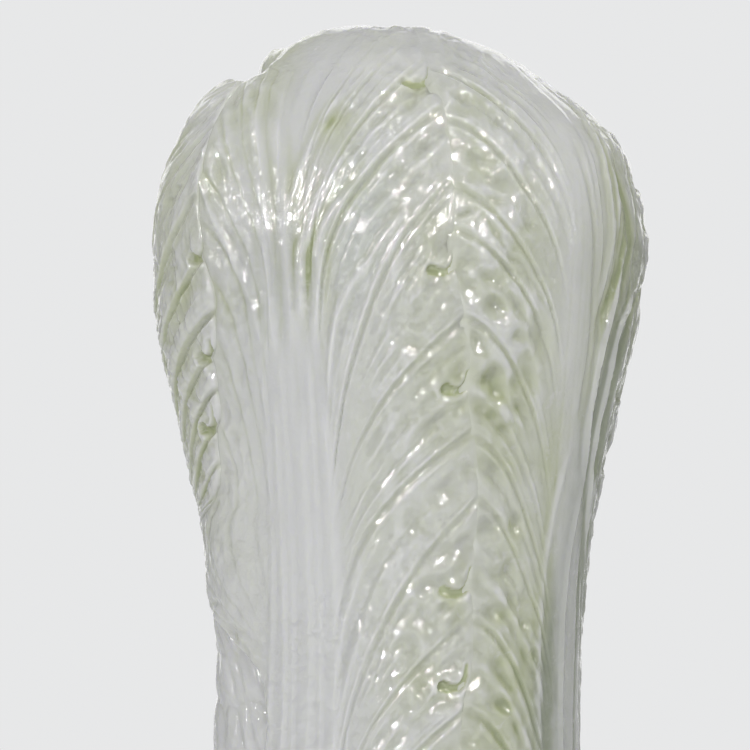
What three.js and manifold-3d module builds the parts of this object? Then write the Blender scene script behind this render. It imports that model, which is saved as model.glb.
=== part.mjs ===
// A standing nephrite carving of a napa cabbage with its fitted hardwood stand, in millimetres.
// +Z is up, the front looks along -Y, and the origin is on the table under the middle of the stand.
// Four outer leaves wrap round the head like a pinwheel: each free right edge lies over the next
// leaf to its right. Four inner leaves show between their stalks and in the crown.

import * as THREE from "three";
import { mergeVertices } from "three/addons/utils/BufferGeometryUtils.js";
import Module from "manifold-3d";

// Driving dimensions of the carving.
const CARVING_HEIGHT = 260;
const HEAD_WIDTH = 119;
const HEAD_DEPTH = 102;
const EDGE_THICKNESS = 2.4;
const SEAM_GAP = 0.5;
const CORE_GAP = 0.9;
const INNER_LEAF_THICKNESS = 4;
const INNER_STALK_DEPTH = 1.4;
const VEIN_HEIGHT = 0.75;
const FRILL_VEIN_HEIGHT = 1.2;
const MIDRIB_HEIGHT = 0.8;
const EDGE_ROUNDING = 0.9;
const FRILL_FLARE = 1.8;
const CROWN_SWIRL_HEIGHT = 2.2;
const SHOULDER_DROP = 2.9;
const ROOT_WIDTH = 57;
const ROOT_CHAMFER = 2;

// The drilled curls that end each lobe of a free edge.
const CURL_REACH = 6.2;
const CURL_SLOT = 1.5;
const CURL_HOLE_RADIUS = 1.7;
const CURL_DROP = 1.6;

// Driving dimensions of the stand.
const STAND_WIDTH = 126;
const STAND_HEIGHT = 36;
const TOP_BOARD_THICKNESS = 8;
const WAIST_HEIGHT = 6;
const WAIST_INSET = 5.5;
const APRON_HEIGHT = 8;
const APRON_WALL = 13;
const APRON_SCALLOP = 2.2;
const EDGE_BEAD = 1.6;
const SOCKET_DEPTH = 10;
const SOCKET_CLEARANCE = 0.6;
const SOCKET_FELT_THICKNESS = 0.8;
const FOOT_WIDTH = 13;
const FOOT_LENGTH = 19;
const FOOT_PAD_THICKNESS = 1.2;
const FOOT_PAD_RADIUS = 5;
const TOE_OVERHANG = 2;

// How finely the surfaces are cut into facets.
const VEIN_COUNT = 9;
const ROWS_PER_VEIN = 3;
const INNER_ROWS = 18;
const HEART_ROWS = 15;
const HEART_SIDES = 18;
const TURNED_SIDES = 36;
const CUT_OVERRUN = 1;

const { degToRad, lerp, smoothstep } = THREE.MathUtils;
const wasm = await Module();
wasm.setup();

const FLATNESS = HEAD_DEPTH / HEAD_WIDTH;
const SOCKET_FLOOR = STAND_HEIGHT - SOCKET_DEPTH;
const CARVING_BASE = SOCKET_FLOOR + SOCKET_FELT_THICKNESS;

// Depths below the envelope, each measured along its normal.
const TONGUE_DEPTH = EDGE_THICKNESS + SEAM_GAP;
const LEAF_DEPTH = TONGUE_DEPTH + EDGE_THICKNESS;
const INNER_DEPTH = LEAF_DEPTH + CORE_GAP;
const HEART_DEPTH = INNER_DEPTH + INNER_LEAF_THICKNESS + 2 * CORE_GAP;

// Angles round the axis, in degrees: 0 is the front and 90 is the right.
const LAP_ANGLE = 9;
const LAP_STEP_ANGLE = 1.5;
const TUCK_MARGIN_ANGLE = 3.8;
const TUCK_RISE_ANGLE = 2.4;
const TUCK_REACH_ANGLE = 5;
const STALK_MARGIN_ANGLE = 4;
const STALK_RISE_ANGLE = 16;
const LOBE_ANGLE = 2.2;
const SIDE_GAP_ANGLE = 0.8;
const SHOULDER_ANGLE = 88;
const SHOULDER_FULL_ANGLE = 25;
const SHOULDER_END_ANGLE = 85;

// The outline of the head seen from the front: half widths as shares of half the head's width,
// and heights as shares of the carving's height, from the foot of the leaves to the crown.
const OUTLINE_SHARES = [
  [0.53, 0.042], [0.66, 0.062], [0.745, 0.105], [0.765, 0.17], [0.75, 0.25], [0.734, 0.336],
  [0.742, 0.414], [0.762, 0.488], [0.806, 0.561], [0.875, 0.635], [0.95, 0.705], [0.99, 0.765],
  [1, 0.815], [0.956, 0.868], [0.85, 0.915], [0.67, 0.955], [0.44, 0.988], [0.2, 1], [0, 1],
];

// Each table pairs a share of the way up the outline with an angle in degrees, but tipShares pairs
// an angle with the share where the leaf ends. The front two seams follow the photographed carving;
// the others continue the same wrap. The veins of a leaf's left and right sides rise by its
// veinRiseShares. A leaf with a spread angle opens over the tip on its left.
const OUTER_LEAVES = [
  {
    name: "front_leaf",
    midribShares: [[0, -33], [0.3, -31], [0.41, -29], [0.6, -25], [0.7, -24], [0.82, -27], [1, -31]],
    leftEdgeShares: [
      [0, -60], [0.15, -54], [0.28, -46.5], [0.345, -49], [0.38, -66], [0.41, -86], [0.45, -102], [1, -110],
    ],
    rightEdgeShares: [
      [0, 2], [0.08, 4], [0.16, 10], [0.22, 15], [0.3, 19.5], [0.36, 22.5], [0.43, 22], [0.5, 21.5],
      [0.566, 18], [0.628, 15.5], [0.7, 12], [0.8, 12], [0.87, 9.5], [1, 9],
    ],
    curlShares: [0.338, 0.413, 0.574, 0.668, 0.832],
    tipShares: [[-110, 0.925], [-70, 0.925], [-50, 0.93], [-35, 0.945], [-15, 0.94], [5, 0.93], [20, 0.94]],
    veinRiseShares: [0.16, 0.15],
    spreadAngle: 30,
  },
  {
    name: "right_leaf",
    midribShares: [[0, 67], [0.3, 66.5], [0.36, 65], [0.5, 55], [0.606, 49], [0.725, 48], [0.85, 50], [1, 54]],
    leftEdgeShares: [[0, 33], [0.12, 33], [0.19, 24], [0.25, 12], [0.3, 0], [1, -20]],
    rightEdgeShares: [
      [0, 101], [0.2, 105], [0.34, 104], [0.42, 95], [0.46, 90], [0.52, 87], [0.6, 86], [0.7, 86.5],
      [0.78, 89], [0.86, 97], [1, 103],
    ],
    curlShares: [0.462, 0.568, 0.652, 0.742, 0.835],
    tipShares: [[-20, 0.93], [20, 0.935], [40, 0.945], [55, 0.94], [75, 0.93], [105, 0.92]],
    veinRiseShares: [0.15, 0.2],
    spreadAngle: 0,
    frill: true,
  },
  {
    name: "back_leaf",
    midribShares: [[0, 154], [0.5, 156], [1, 158]],
    leftEdgeShares: [[0, 123], [0.15, 121], [0.22, 112], [0.3, 99], [0.38, 75], [1, 60]],
    rightEdgeShares: [[0, 188], [0.12, 191], [0.24, 198.4], [0.35, 204], [0.5, 207], [0.7, 205], [1, 205]],
    curlShares: [0.4, 0.53, 0.65, 0.77],
    tipShares: [[60, 0.93], [100, 0.92], [130, 0.935], [160, 0.945], [185, 0.93], [210, 0.935]],
    veinRiseShares: [0.17, 0.17],
    spreadAngle: 0,
  },
  {
    name: "left_leaf",
    midribShares: [[0, 240], [0.3, 240], [0.6, 243], [1, 245]],
    leftEdgeShares: [[0, 208], [0.12, 207], [0.2, 202], [0.26, 190], [0.32, 170], [1, 150]],
    rightEdgeShares: [
      [0, 266], [0.2, 262], [0.38, 259], [0.43, 265], [0.462, 276], [0.495, 291], [0.53, 302], [0.565, 308],
      [0.6, 311], [0.646, 313], [0.686, 312], [0.72, 309], [0.76, 306], [0.82, 303], [0.88, 300], [1, 300],
    ],
    curlShares: [0.542, 0.604, 0.684],
    tipShares: [
      [150, 0.93], [200, 0.93], [228, 0.935], [250, 0.9], [262, 0.872], [285, 0.862], [305, 0.858], [320, 0.86],
    ],
    veinRiseShares: [0.17, 0.17],
    spreadAngle: 0,
    frill: true,
  },
];

const TUCK_COLUMN_SHARES = [0.08, 0.16];
const LEFT_COLUMN_SHARES = [1, 0.74, 0.5, 0.26];
const RIB_COLUMN_SHARES = [-1, -0.35, 0.35, 1];
const RIGHT_COLUMN_SHARES = [0.14, 0.36, 0.6, 0.82, 1];
const RIB_CREST_SHARES = [0.1, 1, 0.8, 0.1];
const VEIN_CREST_SHARES = [-0.9, 1, 0.3];
const RIB_ANGLE_SHARES = [[0, 20], [0.15, 17], [0.3, 14], [0.5, 10], [0.62, 7], [0.72, 4], [1, 3]];
const RIM_SHARE = 0.93;
const SPREAD_SHARES = [0.876, 0.9];
const TIP_DROOP_SHARE = 0.035;
const VEIN_BEND_SHARE = 0.6;
const VEIN_SWING_SHARE = 1.5;
const INNER_TIP_SHARE = 0.968;
const INNER_COLUMN_SHARES = [-1, -0.8, -0.6, -0.4, -0.16, 0.16, 0.4, 0.6, 0.8, 1];
const INNER_STALK_SHARE = 0.4;
const GAP_CLOSING_SHARE = 0.018;

const outline = new THREE.CatmullRomCurve3(
  OUTLINE_SHARES.map(([width, height]) => {
    return new THREE.Vector3((width * HEAD_WIDTH) / 2, 0, height * CARVING_HEIGHT);
  }),
  false,
  "centripetal",
);

// A smooth curve through the rows of a table, read at one share.
function along(table, share) {
  const last = table.length - 1;
  let i = 0;
  while (i < last - 1 && share > table[i + 1][0]) i += 1;
  const slope = (a, b) => (table[b][1] - table[a][1]) / (table[b][0] - table[a][0]);
  const tangent = (k) => slope(Math.max(k - 1, 0), Math.min(k + 1, last));
  const width = table[i + 1][0] - table[i][0];
  const s = THREE.MathUtils.clamp((share - table[i][0]) / width, 0, 1);
  const rise = (table[i + 1][1] - table[i][1]) * s * s * (3 - 2 * s);
  const start = tangent(i) * width * s * (1 - s) * (1 - s);
  const end = tangent(i + 1) * width * s * s * (1 - s);
  return table[i][1] + rise + start - end;
}

// The outward normal of the envelope at an angle and a share of the way up.
function envelopeNormal(angle, share) {
  const tangent = outline.getTangentAt(share);
  const turn = degToRad(angle);
  return new THREE.Vector3(
    FLATNESS * tangent.z * Math.sin(turn),
    -tangent.z * Math.cos(turn),
    -FLATNESS * tangent.x,
  ).normalize();
}

// The right shoulder sits a little lower than the left one.
function shoulderDrop(angle, share) {
  const turn = Math.abs(THREE.MathUtils.euclideanModulo(angle - SHOULDER_ANGLE + 180, 360) - 180);
  const side = 1 - smoothstep(turn, SHOULDER_FULL_ANGLE, SHOULDER_END_ANGLE);
  return SHOULDER_DROP * side * smoothstep(share, 0.76, 0.85) * (1 - smoothstep(share, 0.935, 0.975));
}

// A point under the envelope of the carving, at a depth measured along its normal.
function envelopePoint(angle, share, depth) {
  const at = outline.getPointAt(share);
  const turn = degToRad(angle);
  const point = new THREE.Vector3(
    at.x * Math.sin(turn),
    -FLATNESS * at.x * Math.cos(turn),
    CARVING_BASE + at.z,
  );
  return point.addScaledVector(envelopeNormal(angle, share), -depth - shoulderDrop(angle, share));
}

function geometryFrom(points, faces) {
  const geometry = new THREE.BufferGeometry().setFromPoints(points);
  geometry.setIndex(faces.flat());
  const flat = geometry.toNonIndexed();
  flat.computeVertexNormals();
  return flat;
}

// A closed shell between two grids of points with the same rows and columns.
// Both are seen from outside with the columns running to the right and the rows upwards.
function shellBetween(outer, inner) {
  const rows = outer.length;
  const columns = outer[0].length;
  const points = [...outer.flat(), ...inner.flat()];
  const faces = [];
  const at = (layer, i, j) => layer * rows * columns + i * columns + j;
  const quad = (a, b, c, d) => faces.push([a, b, c], [a, c, d]);
  for (let i = 0; i < rows - 1; i += 1) {
    for (let j = 0; j < columns - 1; j += 1) {
      quad(at(0, i, j), at(0, i, j + 1), at(0, i + 1, j + 1), at(0, i + 1, j));
      quad(at(1, i, j), at(1, i + 1, j), at(1, i + 1, j + 1), at(1, i, j + 1));
    }
    const end = columns - 1;
    quad(at(1, i, 0), at(0, i, 0), at(0, i + 1, 0), at(1, i + 1, 0));
    quad(at(0, i, end), at(1, i, end), at(1, i + 1, end), at(0, i + 1, end));
  }
  for (let j = 0; j < columns - 1; j += 1) {
    const end = rows - 1;
    quad(at(1, 0, j), at(1, 0, j + 1), at(0, 0, j + 1), at(0, 0, j));
    quad(at(0, end, j), at(0, end, j + 1), at(1, end, j + 1), at(1, end, j));
  }
  return geometryFrom(points, faces);
}

function solidFrom(geometry) {
  const bare = geometry.clone();
  bare.deleteAttribute("normal");
  bare.deleteAttribute("uv");
  const merged = mergeVertices(bare);
  return new wasm.Manifold(
    new wasm.Mesh({
      numProp: 3,
      vertProperties: merged.attributes.position.array,
      triVerts: new Uint32Array(merged.index.array),
    }),
  );
}

function geometryOf(solid) {
  const mesh = solid.getMesh();
  const geometry = new THREE.BufferGeometry();
  geometry.setAttribute("position", new THREE.BufferAttribute(mesh.vertProperties, 3));
  geometry.setIndex(new THREE.BufferAttribute(mesh.triVerts, 1));
  const flat = geometry.toNonIndexed();
  flat.computeVertexNormals();
  return flat;
}

function leftNeighbour(leaf) {
  const index = OUTER_LEAVES.indexOf(leaf);
  return OUTER_LEAVES[(index + OUTER_LEAVES.length - 1) % OUTER_LEAVES.length];
}

// The nominal right edge of the leaf on the left, on the same turn as this leaf's angles.
function seamAngle(leaf, share) {
  const seam = along(leftNeighbour(leaf).rightEdgeShares, share);
  return OUTER_LEAVES.indexOf(leaf) === 0 ? seam - 360 : seam;
}

// Nought below the tip of the leaf on the left and one above it, on a leaf that spreads over it.
function spreadShare(leaf, share) {
  return leaf.spreadAngle > 0 ? smoothstep(share, SPREAD_SHARES[0], SPREAD_SHARES[1]) : 0;
}

// The left edge of a leaf: its own outline low down, and a short reach under the seam above.
function leftEdgeAngle(leaf, share) {
  const reach = TUCK_REACH_ANGLE + leaf.spreadAngle * spreadShare(leaf, share);
  return Math.max(along(leaf.leftEdgeShares, share), seamAngle(leaf, share) - reach);
}

// How far a leaf dips so that its left side passes under its neighbour's free edge.
function tuckDepth(leaf, angle, share) {
  const past = angle - seamAngle(leaf, share);
  const under = 1 - smoothstep(past, TUCK_MARGIN_ANGLE, TUCK_MARGIN_ANGLE + TUCK_RISE_ANGLE);
  return TONGUE_DEPTH * under * (1 - spreadShare(leaf, share));
}

// The columns of an outer leaf: across is -1 at its left edge, 0 on the midrib and 1 at its
// right edge, and angleAt places the column at a share of the way up. The second column is where
// the leaf starts to rise from under its neighbour's edge, and the third where it is flush.
function leafColumns(leaf) {
  const midrib = (share) => along(leaf.midribShares, share);
  const halfRib = (share) => along(RIB_ANGLE_SHARES, share);
  const leftEdge = (share) => leftEdgeAngle(leaf, share);
  const lapEdge = (share) => along(leaf.rightEdgeShares, share) - LAP_ANGLE;
  const ribStart = (share) => midrib(share) - halfRib(share);
  const tuckAngle = (share, i) => {
    const clear = seamAngle(leaf, share) + TUCK_MARGIN_ANGLE + i * TUCK_RISE_ANGLE;
    return Math.max(clear, lerp(leftEdge(share), ribStart(share), TUCK_COLUMN_SHARES[i]));
  };
  const tuck = [
    { across: -1, angleAt: leftEdge, edge: true },
    { across: TUCK_COLUMN_SHARES[0] - 1, angleAt: (share) => tuckAngle(share, 0) },
  ];
  const left = LEFT_COLUMN_SHARES.map((across) => ({
    across: (TUCK_COLUMN_SHARES[1] - 1) * across,
    angleAt: (share) => lerp(ribStart(share), tuckAngle(share, 1), across),
  }));
  const rib = RIB_COLUMN_SHARES.map((across, i) => ({
    across: 0,
    crest: RIB_CREST_SHARES[i],
    angleAt: (share) => midrib(share) + across * halfRib(share),
  }));
  const right = RIGHT_COLUMN_SHARES.map((across) => ({
    across,
    angleAt: (share) => lerp(midrib(share) + halfRib(share), lapEdge(share), across),
  }));
  const lap = {
    across: 1,
    lapped: true,
    angleAt: (share) => lapEdge(share) + LAP_STEP_ANGLE,
  };
  const edge = {
    across: 1,
    lapped: true,
    free: true,
    angleAt: (share, lobe) => lapEdge(share) + LAP_ANGLE + lobe * LOBE_ANGLE,
  };
  return [...tuck, ...left, ...rib, ...right, lap, edge];
}

// How far up the outline a point of a leaf lies. Rows rise from the midrib as the veins do.
function leafShare(leaf, row, column) {
  const reach = Math.abs(column.across) ** VEIN_BEND_SHARE;
  const straight = row * along(leaf.tipShares, column.angleAt(RIM_SHARE, 0));
  const rise = leaf.veinRiseShares[column.across < 0 ? 0 : 1];
  return straight + rise * Math.sin(Math.PI * row) ** VEIN_SWING_SHARE * reach;
}

function outerLeafGeometry(leaf) {
  const columns = leafColumns(leaf);
  const rows = VEIN_COUNT * ROWS_PER_VEIN;
  const outer = [];
  const inner = [];
  for (let i = 0; i <= rows; i += 1) {
    const row = i / rows;
    const crest = VEIN_CREST_SHARES[i % ROWS_PER_VEIN];
    const outerRow = [];
    const innerRow = [];
    for (const column of columns) {
      const share = leafShare(leaf, row, column);
      const blade = smoothstep(share, 0.2, 0.5);
      const angle = column.angleAt(share, crest * blade);
      const tuck = tuckDepth(leaf, angle, share);
      const openness = 1 - tuck / TONGUE_DEPTH;
      const middle = 4 * Math.abs(column.across) * (1 - Math.abs(column.across));
      const veinHeight = leaf.frill ? FRILL_VEIN_HEIGHT * Math.sqrt(middle) : VEIN_HEIGHT * middle;
      const vein = veinHeight * crest * blade * openness;
      const ribFade = smoothstep(share, 0, 0.06) * (1 - smoothstep(share, 0.42, 0.72));
      const rib = MIDRIB_HEIGHT * (column.crest ?? 0) * ribFade;
      const rounding = column.free || column.edge ? EDGE_ROUNDING : 0;
      const frill = column.free && leaf.frill ? blade * (1 - smoothstep(share, 0.75, 0.88)) : 0;
      const flare = FRILL_FLARE * frill;
      const depth = tuck + rounding * openness - vein - rib - flare;
      outerRow.push(envelopePoint(angle, share, depth));
      innerRow.push(envelopePoint(angle, share, column.lapped ? EDGE_THICKNESS - flare : LEAF_DEPTH));
    }
    outer.push(outerRow);
    inner.push(innerRow);
  }
  let solid = solidFrom(shellBetween(outer, inner));
  for (const share of leaf.curlShares) solid = solid.subtract(curlCutter(leaf, share));
  return geometryOf(solid);
}

// The J-shaped slot and drilled hole that end a lobe of a leaf's free edge. The slot runs out
// past the longest lobe, so it is open at the edge wherever it is set.
function curlCutter(leaf, share) {
  const half = CURL_SLOT / 2;
  const mouth = CURL_REACH + (degToRad(LOBE_ANGLE) * HEAD_WIDTH) / 2;
  const outlineOfCurl = new THREE.Shape();
  outlineOfCurl.moveTo(mouth, half);
  outlineOfCurl.quadraticCurveTo(CURL_REACH / 2, -CURL_DROP + half, CURL_HOLE_RADIUS, half);
  outlineOfCurl.absarc(0, 0, CURL_HOLE_RADIUS, Math.asin(half / CURL_HOLE_RADIUS), -Math.PI / 4, false);
  outlineOfCurl.quadraticCurveTo(CURL_REACH / 2, -CURL_DROP - half, mouth, -half);
  const depth = 2 * (EDGE_THICKNESS + FRILL_FLARE);
  const cutter = new THREE.ExtrudeGeometry(outlineOfCurl, {
    depth,
    bevelEnabled: false,
    curveSegments: 3,
  });
  const angle = along(leaf.rightEdgeShares, share);
  const normal = envelopeNormal(angle, share);
  const across = new THREE.Vector3(Math.cos(degToRad(angle)), FLATNESS * Math.sin(degToRad(angle)), 0);
  const up = new THREE.Vector3().crossVectors(normal, across).normalize();
  const right = new THREE.Vector3().crossVectors(up, normal);
  const place = new THREE.Matrix4().makeBasis(right, up, normal);
  const start = envelopePoint(angle, share, depth / 2);
  start.addScaledVector(right, CUT_OVERRUN - CURL_REACH);
  place.setPosition(start);
  return solidFrom(cutter.applyMatrix4(place));
}

// An inner leaf reaches from the middle of one outer leaf to the middle of the next. Its stalk
// swells into the gap between theirs and dips just before the gap closes, and its tip shows in
// the crown.
function innerLeafGeometry(leftLeaf, rightLeaf) {
  const wraps = OUTER_LEAVES.indexOf(rightLeaf) === 0 ? 360 : 0;
  const start = (share) => along(leftLeaf.midribShares, share) + SIDE_GAP_ANGLE;
  const end = (share) => along(rightLeaf.midribShares, share) + wraps - SIDE_GAP_ANGLE;
  const outer = [];
  const inner = [];
  for (let i = 0; i < INNER_ROWS; i += 1) {
    const row = i / (INNER_ROWS - 1);
    const outerRow = [];
    const innerRow = [];
    for (const column of INNER_COLUMN_SHARES) {
      const share = row * (INNER_TIP_SHARE - TIP_DROOP_SHARE * column * column);
      const ahead = share + GAP_CLOSING_SHARE;
      const gapStart = along(leftLeaf.rightEdgeShares, ahead) + STALK_MARGIN_ANGLE;
      const gapEnd = along(rightLeaf.leftEdgeShares, ahead) + wraps - STALK_MARGIN_ANGLE;
      const centre = (gapStart + gapEnd) / 2;
      const halfGap = Math.max((gapEnd - gapStart) / 2, 1);
      const inStalk = Math.abs(column) <= INNER_STALK_SHARE;
      const side = inStalk ? column / INNER_STALK_SHARE : Math.sign(column);
      const beside = (Math.abs(column) - INNER_STALK_SHARE) / (1 - INNER_STALK_SHARE);
      const border = column < 0 ? start(share) : end(share);
      const angle = lerp(centre + side * halfGap, border, Math.max(beside, 0));
      const swell = smoothstep(gapEnd - gapStart, 0, STALK_RISE_ANGLE) * Math.sqrt(1 - side * side);
      const depth = lerp(INNER_DEPTH, INNER_STALK_DEPTH, swell);
      outerRow.push(envelopePoint(angle, share, depth));
      innerRow.push(envelopePoint(angle, share, INNER_DEPTH + INNER_LEAF_THICKNESS));
    }
    outer.push(outerRow);
    inner.push(innerRow);
  }
  return shellBetween(outer, inner);
}

// The closed heart inside the leaves, with a swirl of small leaf tips on its crown.
function heartGeometry() {
  const points = [];
  const faces = [];
  for (let i = 0; i < HEART_ROWS; i += 1) {
    const share = i / HEART_ROWS;
    for (let j = 0; j < HEART_SIDES; j += 1) {
      const angle = (360 * j) / HEART_SIDES;
      const swirl = Math.cos(degToRad(3 * angle + 720 * share));
      const crown = smoothstep(share, INNER_TIP_SHARE - TIP_DROOP_SHARE, 1) * CROWN_SWIRL_HEIGHT;
      points.push(envelopePoint(angle, share, HEART_DEPTH - (crown * (1 + swirl)) / 2));
    }
  }
  const bottom = points.length;
  points.push(new THREE.Vector3(0, 0, points[0].z));
  points.push(envelopePoint(0, 1, HEART_DEPTH - CROWN_SWIRL_HEIGHT));
  for (let j = 0; j < HEART_SIDES; j += 1) {
    const next = (j + 1) % HEART_SIDES;
    for (let i = 0; i < HEART_ROWS - 1; i += 1) {
      const [a, b] = [i * HEART_SIDES + j, i * HEART_SIDES + next];
      faces.push([a, b, b + HEART_SIDES], [a, b + HEART_SIDES, a + HEART_SIDES]);
    }
    const rim = (HEART_ROWS - 1) * HEART_SIDES;
    faces.push([bottom, next, j], [rim + j, rim + next, bottom + 1]);
  }
  return geometryFrom(points, faces);
}

// A body turned about +Z from a closed profile of [radius, height] points.
function turned(profile, sides, flatness) {
  const points = profile.map(([radius, height]) => new THREE.Vector2(radius, height));
  return new THREE.LatheGeometry(points, sides).rotateX(Math.PI / 2).scale(1, flatness, 1);
}

// The trimmed root: a plug that stands in the socket, and a cone that meets the leaves' feet.
function rootGeometry() {
  const radius = ROOT_WIDTH / 2;
  const foot = (depth, gap) => {
    const below = outline.getTangentAt(0).multiplyScalar(-gap);
    const height = Math.min(envelopePoint(0, 0, depth).z, envelopePoint(90, 0, depth).z);
    return [envelopePoint(90, 0, depth).x + below.x, height + below.z];
  };
  const [lipRadius, lipHeight] = foot(0, CORE_GAP);
  const [neckRadius, neckHeight] = foot(HEART_DEPTH, 2 * CORE_GAP);
  return turned(
    [
      [0, CARVING_BASE],
      [radius - ROOT_CHAMFER, CARVING_BASE],
      [radius, CARVING_BASE + ROOT_CHAMFER],
      [radius, STAND_HEIGHT + SEAM_GAP],
      [lipRadius, lipHeight],
      [neckRadius, neckHeight],
      [0, neckHeight],
    ],
    HEART_SIDES * 2,
    FLATNESS,
  );
}

const standRadius = STAND_WIDTH / 2;
const waistRadius = standRadius - WAIST_INSET;
const boardBottom = STAND_HEIGHT - TOP_BOARD_THICKNESS;
const apronTop = boardBottom - WAIST_HEIGHT;
const apronBottom = apronTop - APRON_HEIGHT;
const apronRadius = standRadius - EDGE_BEAD;
const apronInner = apronRadius - APRON_WALL;

// The turned board and waist of the stand, with the oval socket sunk into it.
function standTopGeometry() {
  const step = EDGE_BEAD;
  const block = turned(
    [
      [0, apronTop],
      [waistRadius, apronTop],
      [waistRadius, boardBottom],
      [standRadius - step, boardBottom],
      [standRadius, boardBottom + step],
      [standRadius, STAND_HEIGHT - 2 * step],
      [standRadius - step / 3, STAND_HEIGHT - step],
      [standRadius - step, STAND_HEIGHT - step],
      [standRadius - 2 * step, STAND_HEIGHT],
      [0, STAND_HEIGHT],
    ],
    TURNED_SIDES,
    1,
  );
  const socketRadius = ROOT_WIDTH / 2 + SOCKET_CLEARANCE;
  const socket = new THREE.CylinderGeometry(
    socketRadius,
    socketRadius,
    SOCKET_DEPTH + CUT_OVERRUN,
    TURNED_SIDES,
  );
  socket.rotateX(Math.PI / 2).scale(1, FLATNESS, 1);
  socket.translate(0, 0, SOCKET_FLOOR + (SOCKET_DEPTH + CUT_OVERRUN) / 2);
  return geometryOf(solidFrom(block).subtract(solidFrom(socket)));
}

// The apron ring under the waist. Its lower edge is scalloped between the feet.
function apronGeometry() {
  const ring = [];
  for (const [radius, drop] of [
    [apronInner, 0],
    [apronInner, 1],
    [apronRadius - EDGE_BEAD, 1],
    [apronRadius, 0.6],
    [apronRadius - EDGE_BEAD / 2, 0],
  ]) {
    const loop = [];
    for (let j = 0; j < TURNED_SIDES; j += 1) {
      const turn = (2 * Math.PI * j) / TURNED_SIDES;
      const scallop = APRON_SCALLOP * Math.abs(Math.sin(4 * turn)) * (drop > 0 ? 1 : 0);
      const height = apronTop - drop * APRON_HEIGHT + scallop;
      loop.push(new THREE.Vector3(radius * Math.sin(turn), -radius * Math.cos(turn), height));
    }
    ring.push(loop);
  }
  const faces = [];
  const loops = ring.length;
  for (let i = 0; i < loops; i += 1) {
    for (let j = 0; j < TURNED_SIDES; j += 1) {
      const next = (j + 1) % TURNED_SIDES;
      const [a, b] = [i * TURNED_SIDES, ((i + 1) % loops) * TURNED_SIDES];
      faces.push([a + j, b + next, b + j], [a + j, a + next, b + next]);
    }
  }
  return geometryFrom(ring.flat(), faces);
}

// One scrolled foot, drawn from its side with x outwards and y up, then stood up.
function footGeometry() {
  const outer = apronRadius - EDGE_BEAD;
  const inner = outer - FOOT_LENGTH;
  const height = apronBottom - FOOT_PAD_THICKNESS;
  const toe = outer + TOE_OVERHANG;
  const shape = new THREE.Shape();
  shape.moveTo(inner, height);
  shape.quadraticCurveTo(inner + FOOT_LENGTH * 0.3, height * 0.75, inner + FOOT_LENGTH * 0.35, height * 0.4);
  shape.quadraticCurveTo(inner + FOOT_LENGTH * 0.36, 0, inner + FOOT_LENGTH * 0.6, 0);
  shape.lineTo(toe - FOOT_LENGTH * 0.1, 0);
  shape.quadraticCurveTo(toe + FOOT_LENGTH * 0.06, height * 0.14, toe, height * 0.34);
  shape.quadraticCurveTo(toe - FOOT_LENGTH * 0.2, height * 0.42, toe - FOOT_LENGTH * 0.16, height * 0.6);
  shape.quadraticCurveTo(outer - FOOT_LENGTH * 0.02, height * 0.8, outer, height);
  const foot = new THREE.ExtrudeGeometry(shape, {
    depth: FOOT_WIDTH,
    bevelEnabled: false,
    curveSegments: 5,
  });
  return foot.rotateX(Math.PI / 2).translate(0, FOOT_WIDTH / 2, FOOT_PAD_THICKNESS);
}

function disc(radius, thickness, flatness) {
  const half = thickness / 2;
  return new THREE.CylinderGeometry(radius, radius, thickness, TURNED_SIDES / 2)
    .rotateX(Math.PI / 2)
    .scale(1, flatness, 1)
    .translate(0, 0, half);
}

const jade = new THREE.MeshStandardMaterial({ color: 0xd3d7c9, roughness: 0.16, metalness: 0 });
const rosewood = new THREE.MeshStandardMaterial({ color: 0x3a1a12, roughness: 0.4, metalness: 0 });
const felt = new THREE.MeshStandardMaterial({ color: 0x241f1d, roughness: 0.95, metalness: 0 });

const group = new THREE.Group();

function addMesh(name, geometry, material, parent = group) {
  const mesh = new THREE.Mesh(geometry, material);
  mesh.name = name;
  parent.add(mesh);
  return mesh;
}

function addCarving() {
  OUTER_LEAVES.forEach((leaf, i) => {
    const next = OUTER_LEAVES[(i + 1) % OUTER_LEAVES.length];
    addMesh(leaf.name, outerLeafGeometry(leaf), jade);
    addMesh(`inner_${next.name}`, innerLeafGeometry(leaf, next), jade);
  });
  addMesh("heart", heartGeometry(), jade);
  addMesh("root_end", rootGeometry(), jade);
}

function addStand() {
  addMesh("stand_top", standTopGeometry(), rosewood);
  addMesh("stand_apron", apronGeometry(), rosewood);
  addMesh("socket_felt", disc(ROOT_WIDTH / 2, SOCKET_FELT_THICKNESS, FLATNESS), felt).position.z = SOCKET_FLOOR;
  ["front_right", "back_right", "back_left", "front_left"].forEach((corner, i) => {
    const leg = new THREE.Group();
    leg.rotation.z = degToRad(90 * i - 45);
    addMesh(`foot_${corner}`, footGeometry(), rosewood, leg);
    const pad = addMesh(`foot_pad_${corner}`, disc(FOOT_PAD_RADIUS, FOOT_PAD_THICKNESS, 1), felt, leg);
    pad.position.x = apronRadius - EDGE_BEAD - FOOT_PAD_RADIUS;
    group.add(leg);
  });
}

addCarving();
addStand();

export default group;
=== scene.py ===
"""A standing nephrite carving of a napa cabbage on its fitted hardwood stand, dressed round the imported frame.

Lengths are written in millimetres and turned to metres where a mesh, light or camera is made.
Angles round the axis are in degrees: 0 is the front (-Y), 90 is the right (+X).
A share runs from 0 at the foot of the leaves to 1 at the crown, along the outline of the head.
Leaf surfaces are fine grids whose relief (veins, ribs, scooped hollows, drilled curls) is real geometry.
"""

import bmesh
import bpy
import numpy as np
from mathutils import Matrix, Vector

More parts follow.
